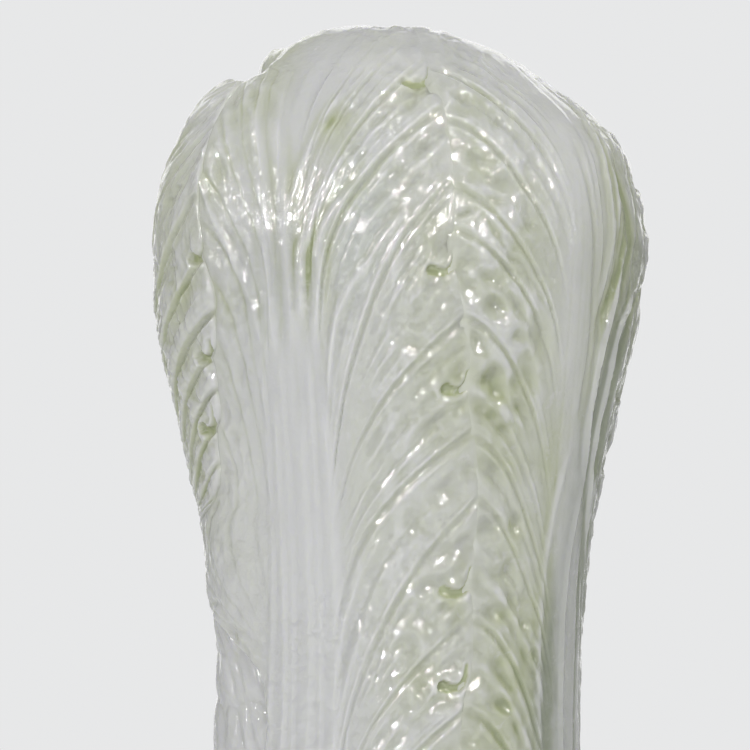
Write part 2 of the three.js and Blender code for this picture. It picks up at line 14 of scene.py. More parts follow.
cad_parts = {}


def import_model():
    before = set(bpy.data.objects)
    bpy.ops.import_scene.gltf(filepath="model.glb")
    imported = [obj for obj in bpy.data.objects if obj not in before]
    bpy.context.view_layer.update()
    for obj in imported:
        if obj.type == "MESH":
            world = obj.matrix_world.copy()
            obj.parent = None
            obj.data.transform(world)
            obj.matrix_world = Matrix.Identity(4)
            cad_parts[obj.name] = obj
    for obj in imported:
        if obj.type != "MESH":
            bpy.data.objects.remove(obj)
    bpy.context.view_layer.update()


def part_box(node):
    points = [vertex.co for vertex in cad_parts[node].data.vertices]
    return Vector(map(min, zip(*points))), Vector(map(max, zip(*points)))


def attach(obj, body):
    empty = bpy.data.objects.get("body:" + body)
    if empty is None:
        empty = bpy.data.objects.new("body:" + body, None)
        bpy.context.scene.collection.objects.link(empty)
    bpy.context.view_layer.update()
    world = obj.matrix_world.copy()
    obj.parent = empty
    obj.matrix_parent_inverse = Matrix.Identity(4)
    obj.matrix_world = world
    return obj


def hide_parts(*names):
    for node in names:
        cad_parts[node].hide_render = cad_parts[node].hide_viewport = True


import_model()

MM = 0.001

# ---------------------------------------------------------------- the head
HEAD_WIDTH = 119
HEAD_DEPTH = 102
CARVING_HEIGHT = 260
CARVING_BASE = 26.8
FLATNESS = HEAD_DEPTH / HEAD_WIDTH
EDGE_THICKNESS = 2.4
TONGUE_DEPTH = 2.9
LEAF_DEPTH = 5.3
INNER_DEPTH = 6.2
INNER_THICKNESS = 4.0
HEART_DEPTH = 12.0
HEART_LEAVES = 5
SHOULDER_DROP = 2.9
SHOULDER_ANGLE = 88

# The outline as shares of half the head's width and of the carving's height.
OUTLINE_SHARES = [
    (0.53, 0.042), (0.66, 0.062), (0.745, 0.105), (0.765, 0.17), (0.75, 0.25), (0.734, 0.336),
    (0.742, 0.414), (0.762, 0.488), (0.806, 0.561), (0.875, 0.635), (0.95, 0.705), (0.99, 0.765),
    (1, 0.815), (0.956, 0.868), (0.85, 0.915), (0.67, 0.955), (0.44, 0.988), (0.2, 1), (0, 1),
]


def outline_tables(steps=400):
    """The centripetal curve through the outline: share, radius, height, their slopes per mm and its length."""
    p = np.array([(w * HEAD_WIDTH / 2, h * CARVING_HEIGHT) for w, h in OUTLINE_SHARES])
    p = np.vstack([2 * p[0] - p[1], p, 2 * p[-1] - p[-2]])
    runs = []
    for a, b, c, d in zip(p, p[1:], p[2:], p[3:]):
        ab, bc, cd = (np.linalg.norm(v) ** 0.5 for v in (b - a, c - b, d - c))
        start = ((b - a) / ab - (c - a) / (ab + bc) + (c - b) / bc) * bc
        end = ((c - b) / bc - (d - b) / (bc + cd) + (d - c) / cd) * bc
        s = np.linspace(0, 1, steps, endpoint=False)[:, None]
        runs.append(b + start * s + (3 * (c - b) - 2 * start - end) * s**2 + (2 * (b - c) + start + end) * s**3)
    curve = np.vstack(runs + [p[-2:-1]])
    length = np.r_[0, np.cumsum(np.linalg.norm(np.diff(curve, axis=0), axis=1))]
    slopes = np.gradient(curve, length, axis=0)
    return length / length[-1], curve[:, 0], curve[:, 1], slopes[:, 0], slopes[:, 1], length[-1]


SHARE, RADIUS, HEIGHT, RADIUS_SLOPE, HEIGHT_SLOPE, OUTLINE_LENGTH = outline_tables()


def radius_at(share):
    """Half the head's width in mm at a share of the outline."""
    return np.interp(share, SHARE, RADIUS)


def shoulder_drop(angle, share):
    """The right shoulder sits a little lower than the left one, in mm along the normal."""
    turn = np.abs(turned(angle, SHOULDER_ANGLE))
    return SHOULDER_DROP * (1 - step(turn, 25, 85)) * between(share, 0.76, 0.85, 0.935, 0.975)


def envelope(angle, share, depth=0.0):
    """Points under the carving's envelope at a depth measured along its normal."""
    angle, share, depth = np.broadcast_arrays(angle, share, depth)
    depth = depth + shoulder_drop(angle, share)
    r, h = radius_at(share), np.interp(share, SHARE, HEIGHT)
    dr, dh = np.interp(share, SHARE, RADIUS_SLOPE), np.interp(share, SHARE, HEIGHT_SLOPE)
    sin, cos = np.sin(np.radians(angle)), np.cos(np.radians(angle))
    normal = np.stack([FLATNESS * dh * sin, -dh * cos, -FLATNESS * dr], -1)
    normal /= np.linalg.norm(normal, axis=-1, keepdims=True)
    point = np.stack([r * sin, -FLATNESS * r * cos, CARVING_BASE + h], -1)
    return point - normal * depth[..., None]


def arc_mm(angle, share):
    """Millimetres round the envelope for one degree."""
    turn = np.radians(angle)
    return radius_at(share) * np.hypot(np.cos(turn), FLATNESS * np.sin(turn)) * np.radians(1)


def along(table, share):
    """A smooth curve through (share, value) rows, read at an array of shares."""
    table = np.array(table, float)
    x, y = table[:, 0], table[:, 1]
    share = np.asarray(share, float)
    i = np.clip(np.searchsorted(x, share, side="right") - 1, 0, len(x) - 2)
    tangent = np.array([(y[min(k + 1, len(x) - 1)] - y[max(k - 1, 0)])
                        / (x[min(k + 1, len(x) - 1)] - x[max(k - 1, 0)]) for k in range(len(x))])
    width = x[i + 1] - x[i]
    s = np.clip((share - x[i]) / width, 0, 1)
    rise = (y[i + 1] - y[i]) * s * s * (3 - 2 * s)
    return y[i] + rise + tangent[i] * width * s * (1 - s) ** 2 - tangent[i + 1] * width * s * s * (1 - s)


def step(x, low, high):
    """Rises softly from 0 at low to 1 at high."""
    s = np.clip((np.asarray(x, float) - low) / (high - low), 0, 1)
    return s * s * (3 - 2 * s)


def between(x, low, full, high, end):
    """Rises softly from low to full, stays 1 and falls softly from high to end."""
    return step(x, low, full) * (1 - step(x, high, end))


def bell(x, width):
    """1 at 0, falling off softly on both sides."""
    return np.exp(-((x / width) ** 2))


def plateau(x, width, power=4):
    """A bell with a flat top, which is wider and steeper the higher the power."""
    return np.exp(-np.abs(x / width) ** power)


def fade(distance, reach):
    """1 at a distance of 0 or less, and falling off beyond it."""
    return np.exp(-np.maximum(distance, 0) / reach)


def turned(angle, origin):
    """The turn from one angle to another, between -180 and 180 degrees."""
    return (angle - origin + 180) % 360 - 180


LATTICE = 64


def noise(x, y, seed):
    """Smooth value noise between -1 and 1 with a lattice of one unit."""
    lattice = np.random.default_rng(seed).uniform(-1, 1, (LATTICE, LATTICE))
    xi, yi = np.floor(x).astype(int), np.floor(y).astype(int)
    fx, fy = x - xi, y - yi
    fx, fy = fx**3 * (6 * fx**2 - 15 * fx + 10), fy**3 * (6 * fy**2 - 15 * fy + 10)
    at = lambda dx, dy: lattice[(xi + dx) % LATTICE, (yi + dy) % LATTICE]
    return (at(0, 0) * (1 - fx) + at(1, 0) * fx) * (1 - fy) + (at(0, 1) * (1 - fx) + at(1, 1) * fx) * fy


# ---------------------------------------------------------------- the leaves
# The tables pair a share with an angle, and tip an angle with a share. curls are the shares of the
# hooks drilled into the free right edge. Side 1 is the half blade right of the midrib, side -1 the
# left one. A vein is (share at the edge, how far it drops on its way in to the midrib).
LEAF_LOOK = dict(rib_height=0.8, stripes=0.13, stripes_end=0.72, white_stalk=1.0, spread=0,
                 flare=0, flare_mm=3.6, flare_end=0.9, lobe_power=0.75)
# The veins begin over the shares in wakes and are calmer from those in calm on.
SIDE_LOOK = dict(strength=1.0, pillow=0.25, lane_mm=5.0, hollows=1.1, power=1.6, straight=0.0,
                 rise=0.08, wakes=(-2, -1), calm=(2, 3))
FRONT = dict(
    LEAF_LOOK,
    name="front_leaf", seed=11,
    midrib=[(0, -33), (0.3, -31), (0.41, -29), (0.6, -25), (0.7, -24), (0.82, -27), (1, -31)],
    right=[(0, 2), (0.08, 4), (0.16, 10), (0.22, 15), (0.3, 19.5), (0.36, 22.5), (0.43, 22), (0.5, 21.5),
           (0.566, 18), (0.628, 15.5), (0.7, 12), (0.8, 12), (0.87, 9.5), (1, 9)],
    left=[(0, -60), (0.15, -54), (0.28, -46.5), (0.345, -48.5), (0.375, -68), (0.4, -91), (0.43, -104),
          (1, -110)],
    curls=[0.338, 0.413, 0.574, 0.668, 0.832],
    tip=[(-110, 0.925), (-70, 0.925), (-50, 0.93), (-35, 0.945), (-15, 0.94), (5, 0.93), (20, 0.94)],
    rib=[(0, 20), (0.15, 17), (0.29, 15), (0.405, 13), (0.6, 8), (0.69, 2.5), (0.8, 1.5), (1, 1)],
    rib_height=0.7, stripes=0.05, spread=32,
    sides={
        1: dict(veins=[(0.13, 0.06), (0.2, 0.1), (0.262, 0.13), (0.318, 0.15), (0.392, 0.155), (0.484, 0.21),
                       (0.54, 0.13), (0.63, 0.15), (0.737, 0.22), (0.803, 0.16), (0.862, 0.18), (0.91, 0.2)],
                pillow=0.22, hollows=1.5, power=3.0, straight=0.6),
        -1: dict(veins=[(0.405, 0.14), (0.443, 0.17), (0.485, 0.19), (0.541, 0.2), (0.612, 0.2), (0.66, 0.19),
                        (0.705, 0.19), (0.75, 0.18), (0.8, 0.19), (0.845, 0.21), (0.89, 0.23)],
                 strength=0.28, pillow=0.35, hollows=1.0, wakes=(0.33, 0.45)),
    },
)
RIGHT = dict(
    LEAF_LOOK,
    name="right_leaf", seed=23,
    midrib=[(0, 67), (0.3, 66.5), (0.36, 65), (0.5, 55), (0.606, 49), (0.725, 48), (0.85, 50), (1, 54)],
    right=[(0, 101), (0.2, 105), (0.34, 104), (0.42, 95), (0.46, 90), (0.52, 87), (0.6, 86), (0.7, 86.5),
           (0.78, 87), (0.86, 89), (0.92, 96), (1, 103)],
    left=[(0, 33), (0.12, 33), (0.19, 24), (0.25, 12), (0.3, 0), (1, -20)],
    curls=[0.462, 0.51, 0.568, 0.652, 0.707, 0.742, 0.797, 0.835],
    tip=[(-20, 0.93), (20, 0.935), (40, 0.945), (55, 0.94), (75, 0.93), (105, 0.92)],
    rib=[(0, 19), (0.15, 16), (0.3, 13), (0.36, 11), (0.5, 8), (0.606, 5), (0.725, 3), (0.85, 2), (1, 1)],
    rib_height=0.5, stripes=0.03, stripes_end=0.8, white_stalk=0.35,
    flare=1.15, flare_end=0.93, flare_mm=5.0, lobe_power=1.5,
    sides={
        1: dict(veins=[(0.3, 0.3), (0.42, 0.4), (0.5, 0.42), (0.65, 0.46), (0.81, 0.44), (0.9, 0.38)],
                strength=0.35, pillow=0.3, lane_mm=30, hollows=0),
        -1: dict(veins=[(0.25, 0.1), (0.318, 0.12), (0.389, 0.14), (0.485, 0.15), (0.534, 0.15), (0.63, 0.16),
                        (0.7, 0.15), (0.733, 0.15), (0.79, 0.16), (0.85, 0.15), (0.905, 0.13)],
                 pillow=0.3, lane_mm=6.0, hollows=1.8, rise=0.28),
    },
)
BACK = dict(
    LEAF_LOOK,
    name="back_leaf", seed=37,
    midrib=[(0, 154), (0.5, 156), (1, 158)],
    right=[(0, 188), (0.12, 191), (0.24, 199), (0.35, 204), (0.5, 207), (0.7, 205), (1, 205)],
    left=[(0, 123), (0.15, 121), (0.22, 112), (0.3, 99), (0.38, 75), (1, 60)],
    curls=[0.4, 0.5, 0.6, 0.7, 0.79],
    tip=[(60, 0.93), (100, 0.92), (130, 0.935), (160, 0.945), (185, 0.93), (210, 0.935)],
    rib=[(0, 19), (0.15, 17), (0.3, 14), (0.5, 11), (0.66, 5), (0.8, 2), (1, 1)],
    sides={
        1: dict(veins=[(0.2, 0.1), (0.29, 0.14), (0.37, 0.17), (0.45, 0.2), (0.53, 0.2), (0.6, 0.19), (0.67, 0.2),
                       (0.73, 0.19), (0.79, 0.18), (0.85, 0.19), (0.9, 0.2)]),
        -1: dict(veins=[(0.33, 0.14), (0.41, 0.18), (0.48, 0.2), (0.56, 0.22), (0.63, 0.2), (0.7, 0.2),
                        (0.76, 0.19), (0.81, 0.19), (0.86, 0.19), (0.91, 0.2)]),
    },
)
LEFT = dict(
    LEAF_LOOK,
    name="left_leaf", seed=53,
    midrib=[(0, 240), (0.3, 240), (0.6, 243), (1, 245)],
    right=[(0, 266), (0.2, 262), (0.38, 259), (0.43, 262), (0.457, 272), (0.483, 296), (0.53, 305), (0.565, 308),
           (0.6, 311), (0.646, 313), (0.686, 312), (0.72, 309), (0.76, 306), (0.82, 303), (0.88, 300), (1, 300)],
    left=[(0, 208), (0.12, 207), (0.2, 202), (0.26, 190), (0.32, 170), (1, 150)],
    curls=[0.45, 0.542, 0.6, 0.68],
    tip=[(150, 0.93), (200, 0.93), (228, 0.93), (248, 0.88), (262, 0.85), (285, 0.843), (305, 0.842),
         (320, 0.845)],
    rib=[(0, 19), (0.15, 17), (0.3, 14), (0.5, 11), (0.66, 6), (0.8, 2), (1, 1)],
    flare=0.9,
    sides={
        1: dict(veins=[(0.36, 0.12), (0.41, 0.15), (0.45, 0.16), (0.485, 0.17), (0.512, 0.17), (0.545, 0.17),
                       (0.573, 0.17), (0.603, 0.17), (0.635, 0.17), (0.683, 0.18), (0.73, 0.17), (0.79, 0.17),
                       (0.84, 0.18), (0.89, 0.2)],
                strength=1.2, pillow=1.35, lane_mm=30, hollows=0.9, power=1.15, calm=(0.66, 0.74)),
        -1: dict(veins=[(0.3, 0.14), (0.38, 0.18), (0.46, 0.2), (0.54, 0.2), (0.61, 0.2), (0.68, 0.2),
                        (0.74, 0.19), (0.8, 0.18), (0.86, 0.18), (0.91, 0.2)],
                 pillow=0.3),
    },
)
LEAVES = [FRONT, RIGHT, BACK, LEFT]

BLADE_SHARES = (0.12, 0.34)  # where the plain stalk turns into the veined blade
CROWN_SHARES = (0.8, 0.9)  # where the veins fade towards the crown
STEM_SHARES = (0.45, 0.9)  # where the midrib's white fades
FOOT_SHARES = (0.1, 0.36)  # where the foot's white fades
TUCK_MM = (-2.6, -1.5)  # how far beyond the seam a leaf sinks under its neighbour
GRID_MM = 0.5
GRID_ROWS = 520
GRID_COLUMNS = 176
COARSE = 8  # the hidden inner side has one cell for this many of the outer side's, both ways
LAP_MM = 7.5
TUCK_REACH = 5
SPREAD_SHARES = (0.848, 0.868)
LOBE_MM = 1.1
FLARED_LOBE_MM = 1.87
SEAM_STEP_MM = 0.07
SEAM_ROUNDING_MM = 0.14
SEAM_CALM = 0.8  # the share of the relief that is lost at a seam
SEAM_CALM_MM = 1.5
RIM_ROUNDING_MM = 0.9
LEFT_RIM_ROUNDING_MM = 1.1
OVERLAP_MM = 1.1
THINNEST_MM = 0.25
VEIN_BELOW_MM = 2.6
VEIN_ABOVE_MM = 4.4
VEIN_HOOK = 0.06  # how far a vein bends down, as a share, where it leaves the midrib
VEIN_HOOK_REACH = 0.07
VEIN_ROOT = 0.72  # the share of the midrib's half width at which veins leave it
BAND_SLOPE = 0.85  # the veins run obliquely, so a band is narrower than its ends' distance


def before(leaf):
    """The leaf whose free right edge lies over this leaf's left side."""
    return LEAVES[LEAVES.index(leaf) - 1]


def lobe_part(leaf, share):
    """How far a share lies from one drilled curl, 0, to the next one up, 1, on the right edge."""
    ends = np.array([0.0] + leaf["curls"] + [1.0])
    i = np.clip(np.searchsorted(ends, share, side="right") - 1, 0, len(ends) - 2)
    return np.clip((share - ends[i]) / (ends[i + 1] - ends[i]), 0, 1)


def lobe_bulge(leaf, share):
    """How far the free edge swells between two drilled curls, from 0 to 1."""
    return np.sin(np.pi * lobe_part(leaf, share) ** leaf["lobe_power"]) ** 0.7


def lobed_edge(leaf, share):
    """A leaf's free right edge, with its lobes between the drilled curls."""
    share = np.asarray(share, float)
    angle = along(leaf["right"], share)
    small = noise(share * 40, share * 0 + leaf["seed"], leaf["seed"]) * 0.25
    size = FLARED_LOBE_MM if leaf["flare"] else LOBE_MM
    lobe = (lobe_bulge(leaf, share) - 0.55 + small) * size * step(share, 0.18, 0.34)
    return angle + lobe / arc_mm(angle, share)


def seam(leaf, share):
    """The lobed edge of the neighbour on the left, on the same turn as this leaf's angles."""
    angle = lobed_edge(before(leaf), share)
    return angle - 360 if leaf is FRONT else angle


def left_edge(leaf, share):
    """Where a leaf ends under its neighbour on the left."""
    reach = TUCK_REACH + leaf["spread"] * step(share, *SPREAD_SHARES)
    return np.maximum(along(leaf["left"], share), seam(leaf, share) - reach)


def beyond_seam(leaf, angle, share):
    """Millimetres from the neighbour's edge, right of it or above its tip."""
    tip = along(before(leaf)["tip"], angle + (360 if leaf is FRONT else 0))
    right = (angle - seam(leaf, share)) * arc_mm(angle, share)
    return np.maximum(right, (share - tip) * OUTLINE_LENGTH)


def vein_share(rows, k, q):
    """The share at which guide vein k passes q, where q is 0 at the midrib and 1 at the edge."""
    edge, drop, power, straight = rows[k]
    fall = straight * (1 - q) + (1 - straight) * (1 - q) ** power
    return edge - drop * fall - VEIN_HOOK * np.exp(-q / VEIN_HOOK_REACH)


class Side:
    """One half of a leaf's blade with its guide veins."""

    def __init__(self, leaf, sign):
        self.leaf, self.sign, self.look = leaf, sign, {**SIDE_LOOK, **leaf["sides"][sign]}
        rows = self.look["veins"]
        low, high = rows[0], rows[-1]
        rows = ([(low[0] - 0.12, low[1] * 0.8), (low[0] - 0.06, low[1] * 0.9)] + list(rows)
                + [(high[0] + 0.05, high[1] * 1.1), (high[0] + 0.15, high[1] * 1.3)])
        self.rows = [(edge, drop, self.look["power"], self.look["straight"]) for edge, drop in rows]
        edges = np.array([row[0] for row in self.rows])
        self.bands = np.diff(edges) * OUTLINE_LENGTH * BAND_SLOPE
        free = self.bands - VEIN_BELOW_MM - VEIN_ABOVE_MM
        self.lanes = np.maximum(np.round(free / self.look["lane_mm"]), 0)

    def root(self, share):
        """The angle where veins leave the midrib."""
        return along(self.leaf["midrib"], share) + self.sign * VEIN_ROOT * along(self.leaf["rib"], share)

    def edge(self, share):
        """The angle of the half blade's outer edge, or of the seam that covers it."""
        if self.sign > 0:
            return along(self.leaf["right"], share)
        seam_angle = along(before(self.leaf)["right"], share) - (360 if self.leaf is FRONT else 0)
        spread = self.leaf["spread"] * step(share, *SPREAD_SHARES)
        return np.maximum(along(self.leaf["left"], share), seam_angle - spread)

    def reach(self, angle, share):
        """How far a place lies from the midrib, 0, to the edge, 1."""
        root, edge = self.root(share), self.edge(share)
        span = np.maximum(self.sign * (edge - root), 3.0)
        return np.clip(self.sign * (angle - root) / span, 0.0, 1.15)

    def index(self, angle, share):
        """The fractional number of the guide vein through a point."""
        q = np.minimum(self.reach(angle, share), 1.0)
        value = np.zeros_like(q)
        lower = vein_share(self.rows, 0, q)
        for k in range(1, len(self.rows)):
            upper = vein_share(self.rows, k, q)
            value += np.clip((share - lower) / np.maximum(upper - lower, 0.004), 0, 1)
            lower = upper
        return value

    def point(self, index, q):
        """The angle and share of a place given by its vein number and reach."""
        k = int(min(max(np.floor(index), 0), len(self.rows) - 2))
        lower, upper = vein_share(self.rows, k, q), vein_share(self.rows, k + 1, q)
        share = lower + (index - k) * (upper - lower)
        angle = self.root(share) + self.sign * q * abs(self.edge(share) - self.root(share))
        return float(angle), float(share)

    def lane_place(self, k, lane):
        """The fraction of band k at a lane border, counted up from the lower vein."""
        band = self.bands[k]
        return (VEIN_ABOVE_MM + (band - VEIN_ABOVE_MM - VEIN_BELOW_MM) * lane / self.lanes[k]) / band


def ridge(x, width):
    """A cord with a narrow crest that catches a thin highlight."""
    return 0.6 * bell(x, width) + 0.4 * np.exp(-np.abs(x) / (0.7 * width))


def vein_profile(d, w):
    """Height in mm across a vein: d is the distance above its groove, w scales the whole profile."""
    fine = step(w, 0.4, 0.75)
    above = 0.42 * ridge(d - 1.6 * w, 0.75 * w) + fine * 0.16 * ridge(d - 3.3 * w, 0.5 * w)
    below = 0.32 * ridge(d + 1.5 * w, 0.65 * w)
    return above + below - 0.42 * bell(d, 0.8 * w)


def side_relief(side, angle, share):
    """Relief in mm of one half blade, with its olive tint, partly painted shade in the low parts, and the reach from
    the midrib, 0, to the edge, 1.
    """
    seed, look = side.leaf["seed"], side.look
    mm = arc_mm(angle, share)
    number = side.index(angle, share)
    small_turn, small_share = 0.05, 2e-4
    across = (side.index(angle + small_turn, share) - number) / (small_turn * mm)
    up = (side.index(angle, share + small_share) - number) / (small_share * OUTLINE_LENGTH)
    spacing = 1 / np.maximum(np.hypot(across, up), 1e-3)
    q = side.reach(angle, share)
    nearest = np.round(number)
    d = (number - nearest) * spacing
    k = np.clip(np.floor(number).astype(int), 0, len(side.bands) - 1)
    band = side.bands[k]
    width = np.clip(spacing / band, 0.3, 1.0) * np.clip(band / 10, 0.6, 1.0)
    wobble = 1 + 0.4 * noise(q * 5 + nearest * 3.7, nearest * 1.9, seed)
    veins = vein_profile(d, width) * (0.3 + 0.7 * width) * wobble

    part = number - np.floor(number)
    lanes, free = side.lanes[k], band - VEIN_ABOVE_MM - VEIN_BELOW_MM
    lane = (part * band - VEIN_ABOVE_MM) / np.maximum(free, 0.5) * lanes
    inside = between(lane, -0.15, 0.15, lanes - 0.15, lanes + 0.15) * (lanes > 0)
    lane_mm = spacing * free / band / np.maximum(lanes, 1)
    crest = (0.5 + 0.5 * np.cos(2 * np.pi * lane)) ** 1.4
    gain = np.clip(lane_mm * 0.16, 0, 0.6) * step(lane_mm, 0.8, 1.8) * (1 - 0.45 * step(q, 0.6, 0.95))
    lane_wobble = step(noise(q * 6 + np.round(lane) * 2.3, nearest * 2.9 + 7, seed + 9), -0.5, 0.7)
    lanes_relief = 1.2 * (crest - 0.45) * gain * inside * lane_wobble

    vault = np.abs(np.sin(np.pi * part)) ** 0.75
    lean = 0.5 * np.sin(2 * np.pi * part + 0.4)
    pillow = look["pillow"] * np.clip(spacing / 6, 0.25, 1) * (vault - 0.55 + 0.35 * lean)
    uneven = 1 + 0.45 * noise(q * 3 + nearest, nearest * 5.1 + 3, seed + 6)
    relief = (veins + lanes_relief) * look["strength"] + pillow * uneven
    # The olive of the grooves, lane valleys and low ground between veins: partly the stone's olive, partly painted
    # shade.
    groove = bell(d, 1.3 * width) * step(q, 0.1, 0.35)
    valley = (1 - crest) * inside * step(q, 0.35, 0.75) * step(lane_mm, 1.5, 3.0)
    deep = min(look["pillow"] * 0.5, 0.3) * (1 - vault) * step(q, 0.2, 0.5)
    return relief, 0.24 * groove + 0.18 * valley + deep, q


def leaf_grid(leaf):
    """Angles and shares of a leaf's fine grid, from its left edge to its lobed right edge."""
    probe = np.linspace(0, 0.94, 60)
    left, right = left_edge(leaf, probe), lobed_edge(leaf, probe)
    widest = np.max((right - left) * arc_mm((left + right) / 2, probe))
    columns = min(int(np.ceil(widest / GRID_MM / COARSE)) * COARSE, GRID_COLUMNS)
    u = np.linspace(0, 1, columns + 1)[None, :]
    v = np.linspace(0, 1, GRID_ROWS + 1)[:, None]
    top = np.array([0.93])
    rim = left_edge(leaf, top) * (1 - u) + lobed_edge(leaf, top) * u
    tip = along(leaf["tip"], rim[0])
    tip = tip + 0.006 * noise(rim[0] / 9, rim[0] * 0 + 0.5, leaf["seed"] + 1) * np.sin(np.pi * u[0]) ** 0.3
    share = v * tip[None, :]
    angle = left_edge(leaf, share) * (1 - u) + lobed_edge(leaf, share) * u
    return angle, share


WINDOW_MARGIN_MM = 3


def window_round(angle, share, centre, reach_mm):
    """The rows and columns of a grid near a place, or None where the grid doesn't reach it."""
    reach_mm += WINDOW_MARGIN_MM
    rows = np.nonzero(np.abs(share[:, share.shape[1] // 2] - centre[1]) * OUTLINE_LENGTH < reach_mm)[0]
    if not len(rows):
        return None
    middle = angle[rows[len(rows) // 2]]
    columns = np.nonzero(np.abs(middle - centre[0]) * arc_mm(*centre) < reach_mm)[0]
    if not len(columns):
        return None
    return slice(rows[0], rows[-1] + 1), slice(columns[0], columns[-1] + 1)


def scoop(angle, share, height, olive, centre, long_mm, wide_mm, deep_mm, tilt):
    """Presses one oval hollow with a soft raised rim into the relief, with olive in it that is partly painted shade.
    """
    window = window_round(angle, share, centre, 2.2 * long_mm)
    if not window:
        return
    a, s = angle[window], share[window]
    x = (a - centre[0]) * arc_mm(*centre)
    y = (s - centre[1]) * OUTLINE_LENGTH
    cos, sin = np.cos(tilt), np.sin(tilt)
    r2 = ((x * cos + y * sin) / long_mm) ** 2 + ((y * cos - x * sin) / wide_mm) ** 2
    dip = np.exp(-r2)
    height[window] += -deep_mm * dip + 0.1 * deep_mm * bell(np.sqrt(r2) - 1.8, 0.5)
    # Olive in the hollow: partly the stone's olive, partly painted shade.
    olive[window] = np.maximum(olive[window], dip * min(deep_mm * 0.55, 0.45))


def scatter_hollows(side, angle, share, height, olive):
    """Rows of scooped hollows in the lanes between the veins, larger towards the edge."""
    if not side.look["hollows"]:
        return
    probe = 0.04
    rng = np.random.default_rng(side.leaf["seed"] * 7 + side.sign)
    for k in range(1, len(side.rows) - 2):
        lanes = int(side.lanes[k])
        places = [side.lane_place(k, lane + 0.5) for lane in range(lanes)] if lanes else [0.5]
        lane_mm = (side.bands[k] - VEIN_ABOVE_MM - VEIN_BELOW_MM) / max(lanes, 1)
        lane_mm = max(lane_mm, side.bands[k] * 0.35)
        for part in places:
            q = 0.99 - 0.07 * rng.random()
            while q > 0.3:
                a, s = side.point(k + part + rng.normal(0, 0.06), q)
                a2, s2 = side.point(k + part, q - probe)
                right, up = (a2 - a) * float(arc_mm(a, s)), (s2 - s) * OUTLINE_LENGTH
                tilt = np.arctan2(up, right)
                step_mm = max(np.hypot(up, right) / probe, 1.0)
                near = float(step(q, 0.3, 0.8))
                long_mm = rng.uniform(1.5, 4.2) * (0.8 + 0.25 * near)
                wide_mm = min(lane_mm * rng.uniform(0.26, 0.36), 1.9) * (0.6 + 0.45 * near)
                deep = rng.uniform(0.25, 0.7) * (0.3 + 0.7 * near) * side.look["hollows"]
                deep *= float(step(s, 0.16, 0.34)) * (1 - 0.75 * float(step(s, 0.8, 0.93)))
                if deep > 0.03 and rng.random() > 0.25:
                    scoop(angle, share, height, olive, (a, s), long_mm, wide_mm, deep, tilt + rng.normal(0, 0.3))
                q -= (2 * long_mm + rng.uniform(0.4, 2.2)) / step_mm


# Larger scooped hollows by the front seam: angle, share, half length, half width and depth in mm,
# and tilt in degrees.
BIG_HOLLOWS = dict(
    right_leaf=[
        (22.5, 0.642, 4.2, 2.7, 1.0, -30), (35.5, 0.616, 4.2, 1.9, 1.0, -65), (26, 0.668, 3.6, 1.3, 0.6, -25),
        (20.5, 0.722, 4.2, 1.5, 0.55, -8), (21, 0.756, 3.2, 1.9, 0.7, 0), (30, 0.735, 4.0, 1.7, 0.6, -30),
        (17, 0.8, 3.4, 1.9, 0.75, 8), (25, 0.572, 3.6, 1.5, 0.75, -45), (33, 0.585, 3.8, 1.3, 0.7, -55),
        (24, 0.553, 2.4, 2.0, 0.9, 0), (27.5, 0.463, 2.6, 1.9, 1.0, -20), (35, 0.463, 2.9, 2.1, 1.0, -75),
        (26, 0.508, 3.0, 1.6, 0.7, -60), (30, 0.425, 3.1, 1.7, 0.75, -60), (28, 0.395, 2.3, 1.9, 0.8, -30),
        (33, 0.345, 3.3, 1.7, 0.8, -50),
    ],
    front_leaf=[
        (6.5, 0.827, 3.6, 2.8, 1.5, 20), (3, 0.668, 3.3, 1.4, 0.5, 55), (2.5, 0.69, 3.6, 1.6, 0.45, 52),
        (5, 0.64, 3.4, 1.4, 0.5, 52), (-3, 0.805, 4.6, 1.8, 0.45, 40), (8, 0.352, 3.6, 1.6, 0.7, 30),
        (9, 0.44, 3.6, 1.5, 0.55, 45), (9, 0.66, 3.4, 1.5, 0.6, 40), (6, 0.59, 3.2, 1.6, 0.6, 42),
        (11, 0.535, 3.4, 1.5, 0.6, 40), (-9, 0.735, 4.2, 1.9, 0.6, 38), (-16, 0.79, 4.6, 2.1, 0.5, 30),
        (-35, 0.8, 5.0, 2.0, 0.45, -60), (2, 0.74, 3.6, 1.6, 0.55, 40),
    ],
)
